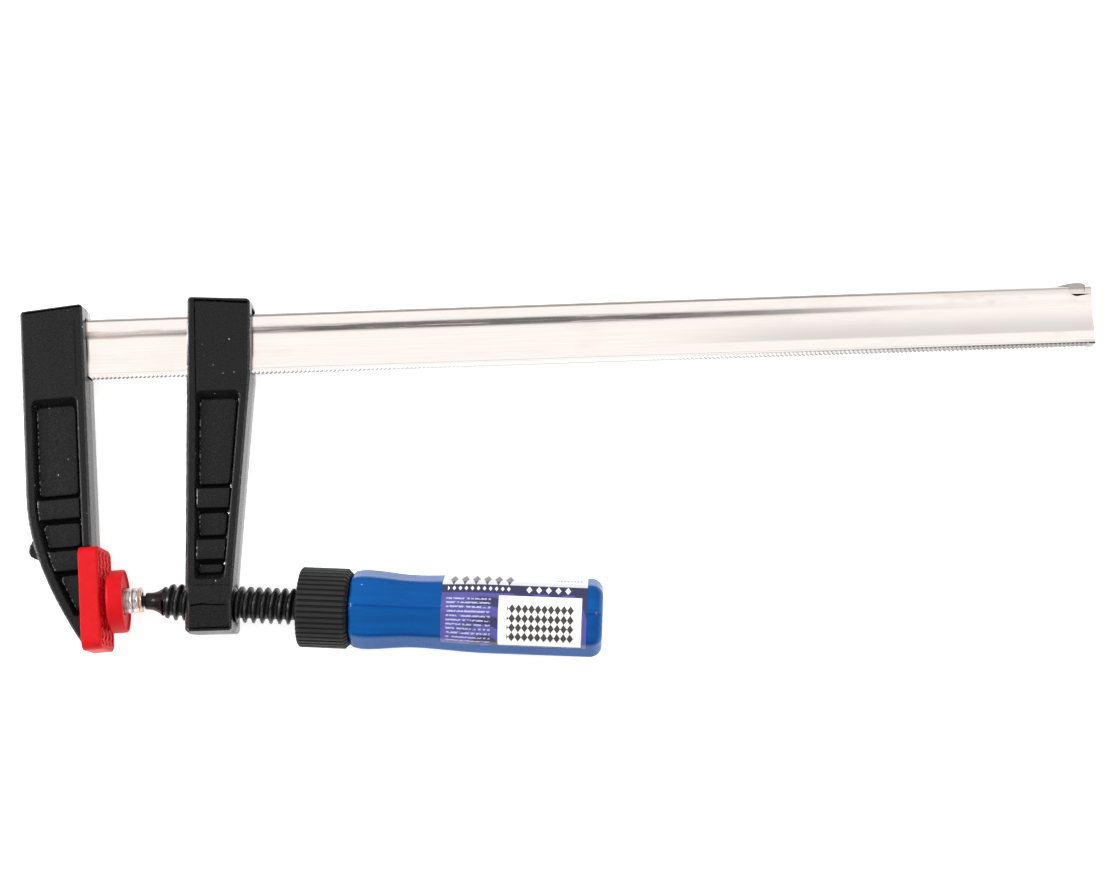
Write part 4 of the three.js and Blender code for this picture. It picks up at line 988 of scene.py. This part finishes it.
def handle_skin(stations, points=range(HANDLE_POINTS), spread=0.0):
    """An open tube, or a part of it, of the handle's outline through (place, radius) stations."""
    shape = bmesh.new()
    full = len(points) == HANDLE_POINTS
    angles = [2 * math.pi * i / HANDLE_POINTS for i in points]

    def at(angle, station):
        along, radius = station
        out = radius * facet_share(angle) + spread
        return Vector((HANDLE_START + along, out * math.sin(angle), -out * math.cos(angle)))

    corners = [shape.verts.new(at(angle, stations[0])) for angle in angles]
    following = corners[1:] + (corners[:1] if full else [])
    edges = [shape.edges.new(pair) for pair in zip(corners, following)]
    for station in stations[1:]:
        edges = grown(shape, edges, lambda place: at(math.atan2(place.y, -place.z), station))
    return shape, edges


def handle_stations():
    stations = []
    for i in range(6):
        a = math.pi / 2 * i / 6
        along = HANDLE_FRONT_ROUND * (1 - math.cos(a))
        stations.append((along, handle_radius(along) - HANDLE_FRONT_ROUND * (1 - math.sin(a))))
    straight = HANDLE_LENGTH - HANDLE_FRONT_ROUND - HANDLE_REAR_ROUND
    for i in range(34):
        along = HANDLE_FRONT_ROUND + straight * i / 34
        stations.append((along, handle_radius(along)))
    for i in range(9):
        a = math.pi / 2 * i / 8
        along = HANDLE_LENGTH - HANDLE_REAR_ROUND * (1 - math.sin(a))
        stations.append((along, handle_radius(along) - HANDLE_REAR_ROUND * (1 - math.cos(a))))
    return stations


def handle_shape():
    """Waisted, softly eight-sided handle with rounded ends and the tang's bore in front."""
    shape, rear = handle_skin(handle_stations())
    front = [e for e in shape.edges if e.is_boundary and e not in set(rear)]
    bmesh.ops.holes_fill(shape, edges=rear, sides=0)
    for depth in (0.0, BORE_DEPTH):
        front = grown(shape, front, on_ring(HANDLE_START + depth, HANDLE_BORE))
    bmesh.ops.holes_fill(shape, edges=front, sides=0)
    bmesh.ops.recalc_face_normals(shape, faces=shape.faces)
    return shape


def label_shape(sizes):
    """A film of paper wrapped over the top of the handle, with its own flat map."""
    first, last = (2 * math.pi * i / HANDLE_POINTS for i in LABEL_POINTS)
    columns = [sizes.label_start + sizes.label_length * i / 24 for i in range(25)]
    points = range(LABEL_POINTS[0], LABEL_POINTS[1] + 1)
    shape, _ = handle_skin([(x, handle_radius(x)) for x in columns], points, LABEL_FILM)
    layer = shape.loops.layers.uv.new("Label")
    for face in shape.faces:
        for loop in face.loops:
            x, y, z = loop.vert.co
            angle = math.atan2(y, -z) % (2 * math.pi)
            loop[layer].uv = (
                (x - HANDLE_START - sizes.label_start) / sizes.label_length,
                (angle - first) / (last - first))
    bmesh.ops.recalc_face_normals(shape, faces=shape.faces)
    if sum(f.normal.dot(Vector((0.0, f.calc_center_median().y, f.calc_center_median().z)))
           for f in shape.faces) < 0:
        bmesh.ops.reverse_faces(shape, faces=shape.faces)
    bmesh.ops.solidify(shape, geom=shape.faces[:], thickness=LABEL_FILM * 1.4)
    return shape


# Operators


class CLAMP_OT_rail(bpy.types.Operator):
    """Finish the rail in bright plating, with broad soft flanks to its channel"""
    bl_idname = "clamp.rail"
    bl_label = "Rail"

    def execute(self, context):
        finished("rail_bar", rail_shape(), CLAMP, rail_plating(context.scene.clamp_colours),
                 "frame", ["rail"])
        return {"FINISHED"}


class CLAMP_OT_castings(bpy.types.Operator):
    """Finish the fixed arm and the sliding arm as painted castings"""
    bl_idname = "clamp.castings"
    bl_label = "Castings"

    def execute(self, context):
        paint = casting_paint(context.scene.clamp_colours)
        edge = context.scene.clamp_sizes.casting_edge
        for name, node, body in (("fixed_casting", "fixed_arm", "frame"),
                                 ("sliding_casting", "sliding_arm", "sliding_jaw")):
            finished(name, casting(node, edge, body == "sliding_jaw"), CLAMP, paint,
                     body, [node])
        return {"FINISHED"}


class CLAMP_OT_soft_pads(bpy.types.Operator):
    """Make the two red caps, with wavy grooves in their clamping faces"""
    bl_idname = "clamp.soft_pads"
    bl_label = "Soft pads"

    def execute(self, context):
        red = soft_red(context.scene.clamp_colours)
        sizes = context.scene.clamp_sizes
        finished("fixed_cap", fixed_cap_shape(sizes.groove_count, sizes.groove_depth), CLAMP, red,
                 "frame", ["fixed_pad_cap"])
        finished("pad_cup", pressure_cap_shape(sizes.groove_depth), PAD, red,
                 "pressure_pad", ["pressure_cap"])
        return {"FINISHED"}


class CLAMP_OT_swivel(bpy.types.Operator):
    """Make the pad's plate with its rolled socket, and plate the ring inside it"""
    bl_idname = "clamp.swivel"
    bl_label = "Swivel"

    def execute(self, context):
        zinc = zinc_plating(context.scene.clamp_colours)
        finished("pad_plate", pressure_plate_shape(), PAD, zinc,
                 "pressure_pad", ["pressure_plate"])
        ring = frame["nodes"]["retaining_ring"]
        ring.data.materials.clear()
        ring.data.materials.append(zinc)
        return {"FINISHED"}


class CLAMP_OT_spindle(bpy.types.Operator):
    """Make the spindle with its ball end and its screw thread"""
    bl_idname = "clamp.spindle"
    bl_label = "Spindle"

    def execute(self, context):
        finished("threaded_spindle", spindle_shape(context.scene.clamp_sizes), SCREW,
                 blackened_steel(context.scene.clamp_colours), "screw", ["spindle"],
                 math.radians(50.0))
        return {"FINISHED"}


class CLAMP_OT_grip(bpy.types.Operator):
    """Make the ribbed collar, the lacquered handle and its label"""
    bl_idname = "clamp.grip"
    bl_label = "Grip"

    def execute(self, context):
        colours, sizes = context.scene.clamp_colours, context.scene.clamp_sizes
        collar = cad_copy("grip_collar")
        rounded(collar, sharp(collar), 0.1)
        finished("ribbed_collar", collar, CLAMP, collar_plastic(colours),
                 "screw", ["grip_collar"])
        finished("turned_handle", handle_shape(), SCREW, handle_lacquer(colours),
                 "screw", ["handle"], math.radians(40.0))
        finished("paper_label", label_shape(sizes), SCREW, label_print(colours),
                 "screw", ())
        return {"FINISHED"}


class CLAMP_OT_stage(bpy.types.Operator):
    """Lay the pale floor, light it softly and set the camera"""
    bl_idname = "clamp.stage"
    bl_label = "Stage"

    def execute(self, context):
        scene = context.scene
        floor = bmesh.new()
        bmesh.ops.create_grid(floor, x_segments=2, y_segments=2, size=4.0)
        piece = linked("floor", mesh_of("floor", floor))
        piece.data.materials.append(floor_paper(scene.clamp_colours))
        sky(scene)
        for name, place, size, power in LAMPS:
            lamp = bpy.data.lights.new(name, "AREA")
            lamp.shape, lamp.size, lamp.size_y, lamp.energy = "RECTANGLE", *size, power
            light = linked(name, lamp)
            light.location = place
            light.rotation_mode = "QUATERNION"
            light.rotation_quaternion = Vector(place).to_track_quat("Z", "Y")
        eye = bpy.data.cameras.new("photo_camera")
        eye.lens, eye.sensor_width, eye.sensor_fit = CAMERA_LENS, 36.0, "HORIZONTAL"
        eye.clip_start, eye.clip_end = 0.01, 20.0
        camera = linked("photo_camera", eye)
        camera.location = CAMERA_PLACE_M
        camera.rotation_euler = [math.radians(angle) for angle in CAMERA_TURN]
        scene.camera = camera
        scene.view_settings.view_transform = "Standard"
        return {"FINISHED"}


def sky(scene):
    """A bright room, dim where the camera stands, round the horizon and a little in front."""
    world = bpy.data.worlds.new("studio_room")
    scene.world = world
    room = Nodes(world, "Background")
    here = room.node("ShaderNodeTexCoord", output="Generated")
    camera = room.ramp(room.dot(here, CAMERA_SIDE), 0.974, 0.988)
    horizon = 1.0 - room.ramp(room.part(here, "Z").magnitude(), 0.08, 0.32)
    front = room.ramp(room.dot(here, (0.0, -1.0, 0.0)), 0.45, 0.95)
    room.fill(room.shader.inputs["Strength"],
              1.08 * (1.0 - 0.88 * camera) * (1.0 - 0.85 * horizon) * (1.0 - 0.30 * front))
    room.fill(room.shader.inputs["Color"], (1.0, 1.0, 1.0))


class CLAMP_PT_pieces(bpy.types.Panel):
    """Lists the clamp's pieces and their settings"""
    bl_idname = "CLAMP_PT_pieces"
    bl_label = "Bar clamp"
    bl_space_type = "VIEW_3D"
    bl_region_type = "UI"
    bl_category = "Bar clamp"

    def draw(self, context):
        for operator in OPERATORS:
            self.layout.operator(operator.bl_idname)
        for group in (context.scene.clamp_sizes, context.scene.clamp_colours):
            for name in group.__annotations__:
                self.layout.prop(group, name)


OPERATORS = (
    CLAMP_OT_rail, CLAMP_OT_castings, CLAMP_OT_soft_pads, CLAMP_OT_swivel, CLAMP_OT_spindle,
    CLAMP_OT_grip, CLAMP_OT_stage)
CLASSES = (ClampSizes, ClampColours, *OPERATORS, CLAMP_PT_pieces)


def register():
    for cls in CLASSES:
        bpy.utils.register_class(cls)
    bpy.types.Scene.clamp_sizes = PointerProperty(type=ClampSizes)
    bpy.types.Scene.clamp_colours = PointerProperty(type=ClampColours)


def unregister():
    del bpy.types.Scene.clamp_sizes
    del bpy.types.Scene.clamp_colours
    for cls in reversed(CLASSES):
        bpy.utils.unregister_class(cls)


def main():
    register()
    for operator in OPERATORS:
        category, name = operator.bl_idname.split(".")
        getattr(getattr(bpy.ops, category), name)()


if __name__ == "__main__":
    main()
